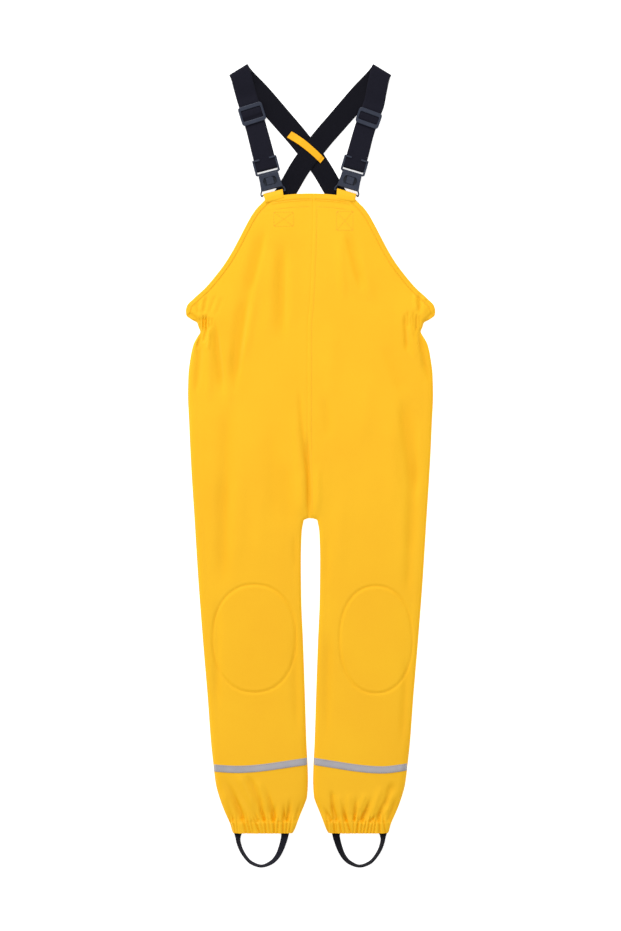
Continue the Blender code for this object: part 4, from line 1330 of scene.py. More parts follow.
def cloth_shell(name: str, points: Points, triangles: Faces, low: Points, high: Points,
                material: Material) -> Piece:
    """A closed thin shell between two heights over the same triangles.

    Args:
        name: the piece's name.
        points: its places in plan.
        triangles: corner numbers.
        low: the lower face's height at each place.
        high: the upper face's height at each place.
        material: its finish.

    Returns:
        The new piece.
    """
    corners = np.array(triangles)
    used, corners = np.unique(corners, return_inverse=True)
    corners = corners.reshape(-1, 3)
    plan, low, high = points[used], low[used], high[used]
    a, b, c = (plan[corners[:, k]] for k in range(3))
    area = (b[:, 0] - a[:, 0]) * (c[:, 1] - a[:, 1]) - (b[:, 1] - a[:, 1]) * (c[:, 0] - a[:, 0])
    corners[area < 0] = corners[area < 0][:, ::-1]
    count = len(plan)
    solid = np.vstack([np.column_stack([plan, low]), np.column_stack([plan, high])])
    sides = np.vstack([corners[:, [0, 1]], corners[:, [1, 2]], corners[:, [2, 0]]])
    known = {(int(p), int(q)) for p, q in sides}
    rim = [(p, q) for p, q in known if (q, p) not in known]
    faces = [tuple(t) for t in corners + count] + [tuple(t[::-1]) for t in corners]
    faces += [(p, q, q + count, p + count) for p, q in sorted(rim)]
    return make_piece(name, solid, faces, material)


@dataclass
class Sewing:
    """Rows of thread stitches, kept until they are made into one mesh."""

    name: str
    material: Material
    pitch: float = 3.0
    length: float = 2.2
    radius: float = 0.24
    sides: int = 5
    shares: Row = (0.0, 0.2, 0.5, 0.8, 1.0)
    sinks: Row = (-0.25, 0.1, 0.2, 0.1, -0.25)
    taper: Row = (0.55, 1.0, 1.0, 1.0, 0.55)
    points: list[Points] = field(default_factory=list)
    faces: Faces = field(default_factory=list)

    def row(self, line: Points, heights: Callable[[Points], Points]) -> None:
        """Sews along a line.

        Args:
            line: places in plan.
            heights: gives the cloth's upper face at any places.
        """
        line = np.asarray(line, float)
        steps = np.linalg.norm(np.diff(line, axis=0), axis=1)
        reach = np.concatenate([[0], np.cumsum(steps)])
        count = max(1, int(reach[-1] / self.pitch))
        shares, sinks = np.array(self.shares), np.array(self.sinks)
        starts = (np.arange(count) + 0.5) * reach[-1] / count - self.length / 2
        at = np.clip((starts[:, None] + shares * self.length).ravel(), 0, reach[-1])
        plan = np.column_stack([np.interp(at, reach, line[:, 0]), np.interp(at, reach, line[:, 1])])
        tops = heights(plan)
        spine = np.column_stack([plan, tops + np.tile(sinks, count)]).reshape(count, len(shares), 3)
        thin = self.radius * np.array(self.taper)
        angles = 2 * math.pi * np.arange(self.sides) / self.sides
        for stitch in spine:
            ahead = stitch[-1] - stitch[0]
            ahead /= max(np.linalg.norm(ahead), TINY)
            across = np.array([-ahead[1], ahead[0], 0.0])
            up = np.cross(ahead, across)
            first = sum(len(p) for p in self.points)
            ring = np.cos(angles)[:, None] * across + np.sin(angles)[:, None] * up
            self.points.append((stitch[:, None, :] + thin[:, None, None] * ring[None]).reshape(-1, 3))
            for k in range(len(shares) - 1):
                for i in range(self.sides):
                    j = (i + 1) % self.sides
                    a, b = first + k * self.sides, first + (k + 1) * self.sides
                    self.faces.append((a + i, a + j, b + j, b + i))
            last = first + (len(shares) - 1) * self.sides
            self.faces.append(tuple(first + i for i in range(self.sides))[::-1])
            self.faces.append(tuple(last + i for i in range(self.sides)))

    def make(self) -> Piece:
        """Joins all the stitches into one piece."""
        return make_piece(self.name, np.vstack(self.points), self.faces, self.material, 80.0)


@dataclass
class TrouserHalf:
    """One half of the trousers: front, back, knee oval, reflective band and their stitches."""

    side: Side
    form: ClothForm
    wardrobe: Wardrobe
    cloth: float = 0.8
    band_lift: float = 0.3
    band_cloth: float = 0.45
    band_rows: Row = (-1.0, -0.94, -0.75, -0.45, -0.15, 0.15, 0.45, 0.75, 0.94, 1.0)
    band_row: float = 0.76
    band_press: Pair = (0.12, 0.1)
    band_edge: float = 0.2
    clear: float = 0.05
    knee_lift: float = 0.12
    knee_hug: float = 0.95
    knee_cloth: float = 0.15
    arm_lines: Row = (4.3, 5.2, 6.0, 6.8, 7.6)
    top_lines: Row = (6.0, 7.0, 8.0, 9.0)
    seam_lines: Row = (0.8, 1.7)
    fell_lines: Row = (3.8, 4.6, 5.4)
    knee_lines: Row = (-0.6, 0.3, 1.2, 2.1, 3.0)
    knee_rings: Row = (0.1, 0.7, 1.4, 2.1, 2.8, 3.6, 4.8, 6.6, 9.0)
    corner_clear: float = 9.0
    fine_cuff_y: float = -396.0
    fine_top_y: float = 305.0
    fine_waist: tuple[float, float, float] = (136.0, 210.0, 106.0)
    fine_back_cuff_y: float = -405.0
    fine_back_waist: Pair = (148.0, 180.0)
    stitch_span: Pair = (184.0, 314.0)
    fell_span: Pair = (308.0, CROTCH_Y + 6)

    def inner(self, y: Points) -> Points:
        """The signed X of the half's inner edge at each height."""
        leg = self.side.value * half_width(INSEAM, y)
        return np.where(y < CROTCH_Y, leg, half_width(CENTRE_SEAM, y))

    def outer(self, y: Points) -> Points:
        """The signed X of the half's outer edge at each height."""
        return self.side.value * half_width(SIDE_EDGE, y)

    def inside_front(self, points: Points) -> Points:
        """Whether each point is on the front half.

        Args:
            points: places in millimetres.

        Returns:
            True or false for each place.
        """
        sign, y, edge = self.side.value, points[:, 1], EDGE_MARGIN
        x = sign * points[:, 0]
        within = (x > sign * self.inner(y) + edge) & (x < sign * self.outer(y) - edge)
        return within & (y > HEM_Y + edge) & (y < bib_top(points[:, 0]) - edge)

    def fine_front(self, points: Points) -> Points:
        """Whether each point lies where the front's mesh is fine.

        Args:
            points: places in millimetres.

        Returns:
            True or false for each place.
        """
        x, y = np.abs(points[:, 0]), points[:, 1]
        bottom, top, start = self.fine_waist
        cuff = y < self.fine_cuff_y
        waist = (y > bottom) & (y < top) & (x > start)
        edges = (line_distance(points, self.form.armholes[self.side]) < 9.0) | (y > self.fine_top_y)
        knee = np.abs(oval_offset(points, KNEES[self.side]) - 0.6) < 4.2
        seam = (y > CROTCH_Y - 4) & (np.abs(points[:, 0] - half_width(CENTRE_SEAM, y)) < 6.5)
        rims = np.minimum(*self.form.from_side(points, self.side)) < 3.0
        return cuff | waist | edges | knee | seam | rims

    def front_outline(self) -> Line:
        """The front half's outline, from the crotch up and round.

        Returns:
            The outline's points in order.
        """
        sign = self.side.value
        seam = [p for p in edge_line(CENTRE_SEAM, 2.2)[::-1] if p[1] < TOP_Y - 1.0]
        xs = np.linspace(3.0, sign * TOP_CORNER_X, 34)[:-1]
        outline = seam + [(float(x), float(bib_top(x))) for x in xs]
        outline += [(sign * x, y) for x, y in edge_line(SIDE_EDGE, 1.8)]
        hem = np.linspace(SIDE_EDGE[-1].half, INSEAM[-1].half, 82)[1:-1]
        outline += [(sign * float(x), HEM_Y) for x in hem]
        outline += [(sign * x, y) for x, y in edge_line(INSEAM, 1.8)[::-1][:-1]]
        return outline

    def knee_ring(self, offset: float, count: int = 190) -> Line:
        """A closed ring about the knee oval.

        Args:
            offset: how far outside the oval.
            count: how many points.

        Returns:
            The ring, with its first point again at the end.
        """
        oval = KNEES[self.side]
        half = np.array([oval.half_x, oval.half_y]) + offset
        plan = unit_oval(count) * half + np.array([oval.x, oval.y])
        ring = [tuple(p) for p in plan]
        return ring + ring[:1]

    def band_y(self, x: Points) -> Points:
        """The height of the band's middle line at a distance from the centre.

        Args:
            x: distances from the centre.

        Returns:
            The line's Y at each.
        """
        band = BANDS[self.side]
        rows = [
            Station(float(half_width(INSEAM, band.inner_y)), band.inner_y),
            Station(band.dip_x, band.dip_y),
            Station(float(half_width(SIDE_EDGE, band.outer_y)), band.outer_y),
        ]
        return half_width(rows, x)

    def top(self, points: Points) -> Points:
        """The front's upper face without the knee's hollow."""
        return self.form.front_top(points, self.side, with_knee=False)

    def sewn_lines(self) -> list[Line]:
        """Lines that the front's mesh follows, so that its seams and hems come out crisp.

        Returns:
            Open lines of points, each inside the front.
        """
        sign, corner = self.side.value, TOP_CORNER_X - self.corner_clear
        arm, normals = line_normals(self.form.armholes[self.side])
        found = [arm - normals * sign * inset for inset in self.arm_lines]
        xs = np.linspace(3.0 + sign * 2.2, sign * corner, 36)
        found += [np.column_stack([xs, bib_top(xs) - drop]) for drop in self.top_lines]
        ys = np.linspace(TOP_Y - 11.0, CROTCH_Y + 2.0, 190)
        offsets = self.seam_lines if self.side is Side.LEFT else self.seam_lines + self.fell_lines
        for offset in offsets:
            found.append(np.column_stack([half_width(CENTRE_SEAM, ys) + sign * offset, ys]))
        kept = []
        for line in found:
            inside = self.inside_front(line) & (line_distance(line, self.front_outline()) > 0.6)
            inside &= (line[:, 1] < 317.0) | (np.abs(line[:, 0]) < corner)
            kept.append([tuple(p) for p in line[inside]])
        return [line for line in kept if len(line) > 3]

    def build_front(self) -> Piece:
        """The front panel with its half of the bib.

        Returns:
            The panel.
        """
        lines = [self.knee_ring(offset) for offset in self.knee_lines] + self.sewn_lines()
        mesh = PanelMesh(self.front_outline(), self.inside_front, self.fine_front, lines)
        points, triangles = mesh.fill()
        high = self.form.front_top(points, self.side)
        low = high - self.cloth
        name = f"front_panel_{self.side.word}"
        front = cloth_shell(name, points, triangles, low, high, self.wardrobe.cloth)
        # Painted shade: each point's depth in folds, gathers and sewn rows is stored on the front for
        # its cloth colour to darken.
        places = np.array([v.co[:2] for v in front.data.vertices]) / MM
        depth = self.form.shade(places)
        spread_uv(front, depth, depth, "fold_depth")
        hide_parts(f"front_{self.side.word}")
        return front

    def inside_back(self, points: Points) -> Points:
        """Whether each point is on the back half.

        Args:
            points: places in millimetres.

        Returns:
            True or false for each place.
        """
        x, y = self.side.value * points[:, 0], points[:, 1]
        rows = BACK_ARMHOLE + [row for row in SIDE_EDGE if row.y < BACK_ARMHOLE[-1].y]
        low = np.where(y < CROTCH_Y, half_width(INSEAM, y), GAP / 2)
        within = (x > low + EDGE_MARGIN) & (x < half_width(rows, y) - EDGE_MARGIN)
        return within & (y > HEM_Y + EDGE_MARGIN) & (y < BACK_ARMHOLE[0].y - EDGE_MARGIN)

    def fine_back(self, points: Points) -> Points:
        """Whether each point lies where the back's mesh is fine.

        Args:
            points: places in millimetres.

        Returns:
            True or false for each place.
        """
        y, (bottom, top) = points[:, 1], self.fine_back_waist
        waist = (y > bottom) & (y < top)
        return (y < self.fine_back_cuff_y) | waist | (np.abs(points[:, 0]) < 2.5)

    def build_back(self) -> Piece:
        """The back panel, which lies on the surface.

        Returns:
            The panel.
        """
        sign, armhole = self.side.value, BACK_ARMHOLE[0]
        outline = self.form.back_outline(self.side, 2.0)
        xs = np.linspace(GAP / 2, armhole.half, 36)[1:-1]
        top = [(sign * float(x), armhole.y) for x in xs]
        ys = np.linspace(CROTCH_Y, armhole.y, 150)[1:-1]
        seam = [(sign * GAP / 2, float(y)) for y in ys]
        xs = np.linspace(SIDE_EDGE[-1].half, INSEAM[-1].half, 60)[1:-1]
        hem = [(sign * float(x), HEM_Y) for x in xs]
        corner = next(k for k, p in enumerate(outline) if p[1] == HEM_Y)
        upper, lower = outline[2 : corner + 1], outline[corner + 1 :]
        outline = outline[:1] + seam + outline[1:2] + top + upper + hem + lower
        points, triangles = PanelMesh(outline, self.inside_back, self.fine_back).fill()
        low = self.form.back_low(points, self.side)
        high = np.minimum(low + self.cloth, BACK_TOP + 0.02)
        name, cloth = f"back_panel_{self.side.word}", self.wardrobe.cloth
        back = cloth_shell(name, points, triangles, low, high, cloth)
        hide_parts(f"back_{self.side.word}")
        return back

    def build_knee(self) -> Piece:
        """The oval knee piece, welded down along its edge.

        Returns:
            The knee piece.
        """
        oval = KNEES[self.side]
        offsets = -np.array(self.knee_rings)
        count = 180
        circle = unit_oval(count)
        half = np.array([oval.half_x, oval.half_y])
        rings = [circle * (half + offset) for offset in offsets]
        inner = half + offsets[-1]
        rings += [circle * inner * share for share in np.linspace(1, 0, 19)[1:-1]]
        rings.append(np.zeros((1, 2)))
        plan = np.vstack(rings) + np.array([oval.x, oval.y])
        triangles = []
        for k in range(len(rings) - 2):
            a, b = k * count, (k + 1) * count
            for i in range(count):
                j = (i + 1) % count
                triangles += [(a + i, a + j, b + j), (a + i, b + j, b + i)]
        last, centre = (len(rings) - 2) * count, len(plan) - 1
        triangles += [(last + i, last + (i + 1) % count, centre) for i in range(count)]
        inside = -oval_offset(plan, oval)
        form, cloth = self.form, self.wardrobe.knee_cloth
        slope = 1 - smooth_step(inside, 0.0, form.knee_slope)
        high = self.top(plan) + self.knee_lift - form.knee_dip * self.knee_hug * slope
        low = np.minimum(self.top(plan) - form.knee_dip + self.clear, high - self.knee_cloth)
        knee = cloth_shell(f"knee_oval_{self.side.word}", plan, triangles, low, high, cloth)
        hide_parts(f"knee_{self.side.word}")
        return knee

    def build_band(self) -> Piece:
        """The reflective band across the front of the leg.

        Returns:
            The band.
        """
        band, sign = BANDS[self.side], self.side.value
        inner = float(half_width(INSEAM, band.inner_y)) + 0.3
        outer = float(half_width(SIDE_EDGE, band.outer_y)) - 0.3
        columns, rows = 76, np.array(self.band_rows)
        xs = np.linspace(inner, outer, columns)
        plan = np.array([(sign * x, float(self.band_y(x)) + BAND_HALF * r) for r in rows for x in xs])
        triangles = []
        for j in range(len(rows) - 1):
            for i in range(columns - 1):
                a = j * columns + i
                triangles += [(a, a + 1, a + columns + 1), (a, a + columns + 1, a + columns)]
        rim = np.abs(np.repeat(rows, columns))
        sewn = bell(rim - self.band_row, *self.band_press)
        high = self.top(plan) + self.band_lift + self.band_cloth
        high = high - self.band_edge * smooth_step(rim, 0.9, 1.0) - sewn
        low = self.top(plan) + self.clear
        name, tape = f"reflective_band_{self.side.word}", self.wardrobe.tape
        piece = cloth_shell(name, plan, triangles, low, high, tape)
        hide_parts(f"band_{self.side.word}")
        return piece

    def sew(self) -> list[Piece]:
        """The stitches of the hems, the band and the box under the tab.

        Returns:
            The yellow stitches and the grey ones.
        """
        sign, form = self.side.value, self.form
        yellow = Sewing(f"stitches_{self.side.word}", self.wardrobe.yellow_thread)
        arm, normals = line_normals(form.armholes[self.side])
        lowest, highest = self.stitch_span
        for inset in (form.stitch_inset, 1.8):
            line = arm + normals * -sign * inset
            line = line[(line[:, 1] < highest) & (line[:, 1] > lowest)]
            yellow.row(line, self.top)
        for drop, start, end in ((7.0, 1.2, 46.0), (form.second_row, 3.0, 42.0)):
            xs = np.linspace(3.0 + sign * start, sign * end, 30)
            yellow.row(np.column_stack([xs, bib_top(xs) - drop]), self.top)
        if self.side is Side.RIGHT:
            ys = np.linspace(*self.fell_span, 160)
            yellow.row(np.column_stack([half_width(CENTRE_SEAM, ys) + form.fell_row, ys]), self.top)
        for line in self.box_lines():
            yellow.row(line, self.top)
        thread = self.wardrobe.grey_thread
        grey = Sewing(f"band_stitches_{self.side.word}", thread, pitch=2.8, radius=0.2)
        band = BANDS[self.side]
        ends = half_width(INSEAM, band.inner_y) + 2, half_width(SIDE_EDGE, band.outer_y) - 2
        xs = np.linspace(*ends, 60)
        for share in (-self.band_row, self.band_row):
            line = np.column_stack([sign * xs, self.band_y(xs) + share * BAND_HALF])
            grey.row(line, lambda places: self.top(places) + self.band_lift + self.band_cloth - 0.1)
        made = [yellow.make(), grey.make()]
        return made

    def box_lines(self) -> list[Points]:
        """The box with a cross in it that holds the tab behind the bib.

        Returns:
            Its six lines.
        """
        x0, x1, y0, y1 = TAB_BOXES[self.side]
        corners = [(x0, y1), (x1, y1), (x1, y0), (x0, y0)]
        runs = [(0, 1), (1, 2), (2, 3), (3, 0), (0, 2), (1, 3)]
        return [np.linspace(corners[a], corners[b], 12) for a, b in runs]

    def build(self) -> list[Piece]:
        """Every piece of this half."""
        made = [self.build_back(), self.build_front(), self.build_knee(), self.build_band()]
        return made + self.sew()


# Straps


@dataclass
class StrapPath:
    """A strip's middle line and its half-width vectors, smoothed between their rows."""

    centres: list[Points] = field(default_factory=list)
    halves: list[Points] = field(default_factory=list)

    def add(self, place: Sequence[float], z: float, across: Points, half: float,
            tilt: float = 0.0) -> None:
        """Adds a row.

        Args:
            place: the row's place in plan.
            z: its height.
            across: a direction in plan across the strip.
            half: half the strip's width.
            tilt: the turn about the strip's own line, in radians.
        """
        self.centres.append(np.array([place[0], place[1], z], float))
        flat = np.array([across[0], across[1], 0.0]) * math.cos(tilt)
        self.halves.append((flat + np.array([0, 0, math.sin(tilt)])) * half)

    def turn(self, centre: Points, outward: Points, low_z: float, radius: float, across: Points,
             half: float, from_low: bool = True, count: int = 8) -> None:
        """Adds rows that turn the strip back over itself about a level line.

        Args:
            centre: the turn's place in plan.
            outward: the way that its bulge points.
            low_z: the height of its lower run.
            radius: half the distance between its runs.
            across: a direction across the strip.
            half: half the strip's width.
            from_low: whether it starts on the lower run.
            count: how many steps it has.
        """
        angles = [math.pi * (k / count - 0.5) for k in range(count + 1)]
        for angle in angles if from_low else angles[::-1]:
            place = np.asarray(centre) + outward * radius * math.cos(angle)
            self.add(place, low_z + radius + radius * math.sin(angle), across, half)

    def smoothed(self, step: float) -> tuple[Points, Points, Points]:
        """Rows about a step apart, on a smooth curve through the given ones.

        Args:
            step: the distance between rows.

        Returns:
            The middles, the half-width vectors, and the distance along the strip.
        """
        rows = np.hstack([np.array(self.centres), np.array(self.halves)])
        reach = np.concatenate([[0], np.cumsum(np.linalg.norm(np.diff(rows[:, :3], axis=0), axis=1))])
        slope = np.zeros_like(rows)
        run = np.diff(reach)[:, None]
        rise = np.diff(rows, axis=0) / run
        same = rise[:-1] * rise[1:]
        both = np.where(same > 0, rise[:-1] + rise[1:], 1.0)
        slope[1:-1] = np.where(same > 0, 2 * same / both, 0.0)
        slope[0], slope[-1] = rise[0], rise[-1]
        counts = np.maximum(1, np.ceil(np.diff(reach) / step)).astype(int)
        found, places = [], []
        for k, count in enumerate(counts):
            t = (np.arange(count) / count)[:, None]
            first = (1 + 2 * t) * (1 - t) ** 2 * rows[k] + t * (1 - t) ** 2 * run[k] * slope[k]
            second = t**2 * (3 - 2 * t) * rows[k + 1] + t**2 * (t - 1) * run[k] * slope[k + 1]
            found.append(first + second)
            places.append(reach[k] + t[:, 0] * run[k])
        found.append(rows[-1:])
        places.append(reach[-1:])
        whole = np.vstack(found)
        return whole[:, :3], whole[:, 3:], np.concatenate(places)


@dataclass
class Strip:
    """A woven or sewn strip along a path, with rounded edges."""

    name: str
    path: StrapPath
    thickness: float
    material: Material
    step: float = 2.0
    columns: int = 13

    def make(self) -> tuple[Piece, float]:
        """Makes the strip's mesh.

        Returns:
            The strip's mesh, and its length in millimetres.
        """
        centres, halves, along = self.path.smoothed(self.step)
        ahead = directions(centres)
        width = np.linalg.norm(halves, axis=1)
        up = np.cross(ahead, halves)
        up /= np.linalg.norm(up, axis=1)[:, None]
        edge = self.thickness / 2
        shares = np.linspace(-1, 1, self.columns)
        corners = (0.25 * math.pi, 0.0, -0.25 * math.pi)
        bulges, lifts = [math.cos(a) for a in corners], [math.sin(a) for a in corners]
        flat, full, ends = [0.0] * self.columns, [1.0] * self.columns, [1.0] * len(corners)
        across_share = np.array([*shares, *ends, *shares[::-1], *(-v for v in ends)])
        up_share = np.array([*full, *lifts, *(-v for v in full), *(-v for v in lifts)])
        bulge_share = np.array([*flat, *bulges, *flat, *(-v for v in bulges)])
        inset = (width - edge) / width
        unit = halves / width[:, None]
        points = (
            centres[:, None, :]
            + halves[:, None, :] * (inset[:, None, None] * across_share[None, :, None])
            + unit[:, None, :] * (edge * bulge_share)[None, :, None]
            + up[:, None, :] * (edge * up_share)[None, :, None]
        )
        size = len(across_share)
        rows = len(centres)
        faces = []
        for k in range(rows - 1):
            a, b = k * size, (k + 1) * size
            for i in range(size):
                j = (i + 1) % size
                faces.append((a + i, a + j, b + j, b + i))
        faces.append(tuple(range(size))[::-1])
        faces.append(tuple((rows - 1) * size + i for i in range(size)))
        piece = make_piece(self.name, points.reshape(-1, 3), faces, self.material, 70.0)
        mean = float(width.mean())
        face = np.where(up_share > 0, UPPER_FACE, LOWER_FACE)
        spread_uv(piece, np.tile(across_share * mean + face, rows), np.repeat(along, size))
        return piece, float(along[-1])


@dataclass
class BraceSet:
    """One brace with its slider, buckle and tab."""

    side: Side
    form: ClothForm
    wardrobe: Wardrobe
    fold_radius: float = 2.2
    loop_radius: float = 2.0
    loop_end: float = 14.9
    loop_overlap: float = 3.0
    rear_end: float = 9.3
    shoulder_share: float = 0.42
    shoulder_z: float = 3.6
    even_y: float = 400.0
    stretch_run: float = 60.0
    stretch: float = 0.55
    pass_rows: tuple[Pair, ...] = (
        (-9.0, 1.2), (-2.0, 2.1), (4.2, 2.3), (8.0, 4.0), (13.0, 4.0), (16.8, 2.4), (24.0, 2.4),
    )
    tab_bar_z: float = 3.9
    tab_radius: float = 1.3
    tab_bib_share: float = 0.9
    loose: float = 0.4
    tab_spread: float = 0.5
    flap_rows: tuple[Pair, ...] = ((0.3, 0.1), (2.2, 0.06), (3.8, 0.0), (4.6, -0.5))

    def __post_init__(self) -> None:
        """Works out the directions of the slider and the buckle."""
        self.places = BRACES[self.side]
        self.slide_across, self.slide_down = lean_axes(self.side, self.places.slider_lean)
        self.buckle_across, self.buckle_down = lean_axes(self.side, self.places.buckle_lean)
        middle = np.array([self.side.value * self.places.slider_x, self.places.slider_y])
        self.slider_top = middle - self.slide_down * SLIDER_LENGTH / 2
        self.buckle = np.array([self.side.value * self.places.buckle_x, self.places.buckle_y])

    def build_brace(self) -> Piece:
        """The elastic, from inside the back over the crossing and the shoulder to the buckle.

        Returns:
            The brace.
        """
        sign, places, path = self.side.value, self.places, StrapPath()
        fold_across, fold_down = lean_axes(self.side, places.fold_lean)
        outward = -fold_down
        fold = np.array([sign * places.fold_x, places.fold_y]) - outward * (self.fold_radius + WEB / 2)
        line = np.vstack([[(sign * row.across, row.y) for row in BRACE_BACK], fold])
        for row, place, step in zip(BRACE_BACK, line, directions(line)):
            z = WEB / 2 + row.rise * places.lift + row.on_back * (BACK_TOP + GAP)
            stretch = min(max((row.y - self.even_y) / self.stretch_run, -1.0), 1.0)
            path.add(place, z, np.array([step[1], -step[0]]), WEB_HALF + self.stretch * stretch)
        path.turn(fold, outward, WEB / 2, self.fold_radius, fold_across, WEB_HALF + self.loose)
        top = self.slider_top
        path.add(fold + (top - fold) * self.shoulder_share, self.shoulder_z, self.slide_across, WEB_HALF)
        for v, z in self.pass_rows:
            path.add(top + self.slide_down * v, z, self.slide_across, WEB_HALF)
        loop_z = WEB / 2 + 2 * self.loop_radius
        for v in (-self.loop_overlap, self.loop_overlap):
            place = self.buckle + self.buckle_down * v
            path.add(place, loop_z, self.buckle_across, WEB_HALF + self.loose)
        turn = self.buckle + self.buckle_down * (self.loop_end - self.loop_radius - WEB / 2)
        rear = WEB / 2
        path.turn(turn, self.buckle_down, rear, self.loop_radius, self.buckle_across, WEB_HALF,
                  from_low=False)
        path.add(self.buckle - self.buckle_down * self.loop_overlap, rear, self.buckle_across, WEB_HALF)
        path.add(top + self.slide_down * self.pass_rows[-1][0], rear, self.slide_across, WEB_HALF)
        path.add(top + self.slide_down * self.rear_end, rear, self.slide_across, WEB_HALF)
        strip = Strip(f"brace_strap_{self.side.word}", path, WEB, self.wardrobe.elastic)
        piece, length = strip.make()
        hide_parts(f"brace_{self.side.word}")
        return piece

    def build_tab(self) -> Piece:
        """The yellow tab from behind the bib, round the buckle's bar and down over the hem.

        Returns:
            The tab.
        """
        sewn, bar = (np.array(p) for p in self.form.tab_line(self.side, self.places))
        down = (sewn - bar) / np.linalg.norm(sewn - bar)
        bib = bar - down * (self.tab_bib_share - 1) * np.linalg.norm(sewn - bar)
        across = np.array([-down[1], down[0]])
        low = self.form.tab_low()
        path = StrapPath()
        for place in (sewn, (sewn + bib) / 2, bib):
            path.add(place, low, across, TAB_HALF)
        path.turn(bar, -self.buckle_down, self.tab_bar_z - self.tab_radius, self.tab_radius,
                  self.buckle_across, TAB_HALF + self.tab_spread)
        for drop, lift in self.flap_rows:
            edge = bib_top(bar[0] + down[0] * 8.0) - drop
            place = bar + down * (edge - bar[1]) / down[1]
            held = np.array([place - (0.0, max(0.0, 1.5 - drop))])
            on_cloth = self.form.front_top(held, self.side, with_knee=False)[0]
            path.add(place, on_cloth + TAB_CLOTH / 2 + lift, across, TAB_HALF)
        name, cloth = f"buckle_tab_{self.side.word}", self.wardrobe.cloth
        piece, length = Strip(name, path, TAB_CLOTH, cloth, step=1.2, columns=11).make()
        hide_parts(f"tab_{self.side.word}")
        return piece

    def build(self) -> list[Piece]:
        """Every piece of this brace."""
        return [self.build_brace(), self.build_tab()]


# Moulded plastic


def rounded(corners: Sequence[Pair], radius: float | Sequence[float], steps: int = 5) -> Line:
    """A polygon with its corners rounded.

    Args:
        corners: the polygon's corners.
        radius: how far from each corner its curve starts, once or for each corner.
        steps: how many edges each curve has.

    Returns:
        The rounded outline.
    """
    count = len(corners)
    radii = [radius] * count if isinstance(radius, (int, float)) else list(radius)
    found = []
    for k, corner in enumerate(corners):
        here = np.array(corner, float)
        ends = []
        for other in (corners[k - 1], corners[(k + 1) % count]):
            away = np.array(other, float) - here
            length = np.linalg.norm(away)
            ends.append(here + away / length * min(radii[k], 0.45 * length))
        for t in np.linspace(0, 1, steps + 1):
            found.append(tuple((1 - t) ** 2 * ends[0] + 2 * t * (1 - t) * here + t * t * ends[1]))
    return found


def box(u0: float, u1: float, v0: float, v1: float) -> Line:
    """The corners of a rectangle."""
    return [(u0, v0), (u1, v0), (u1, v1), (u0, v1)]


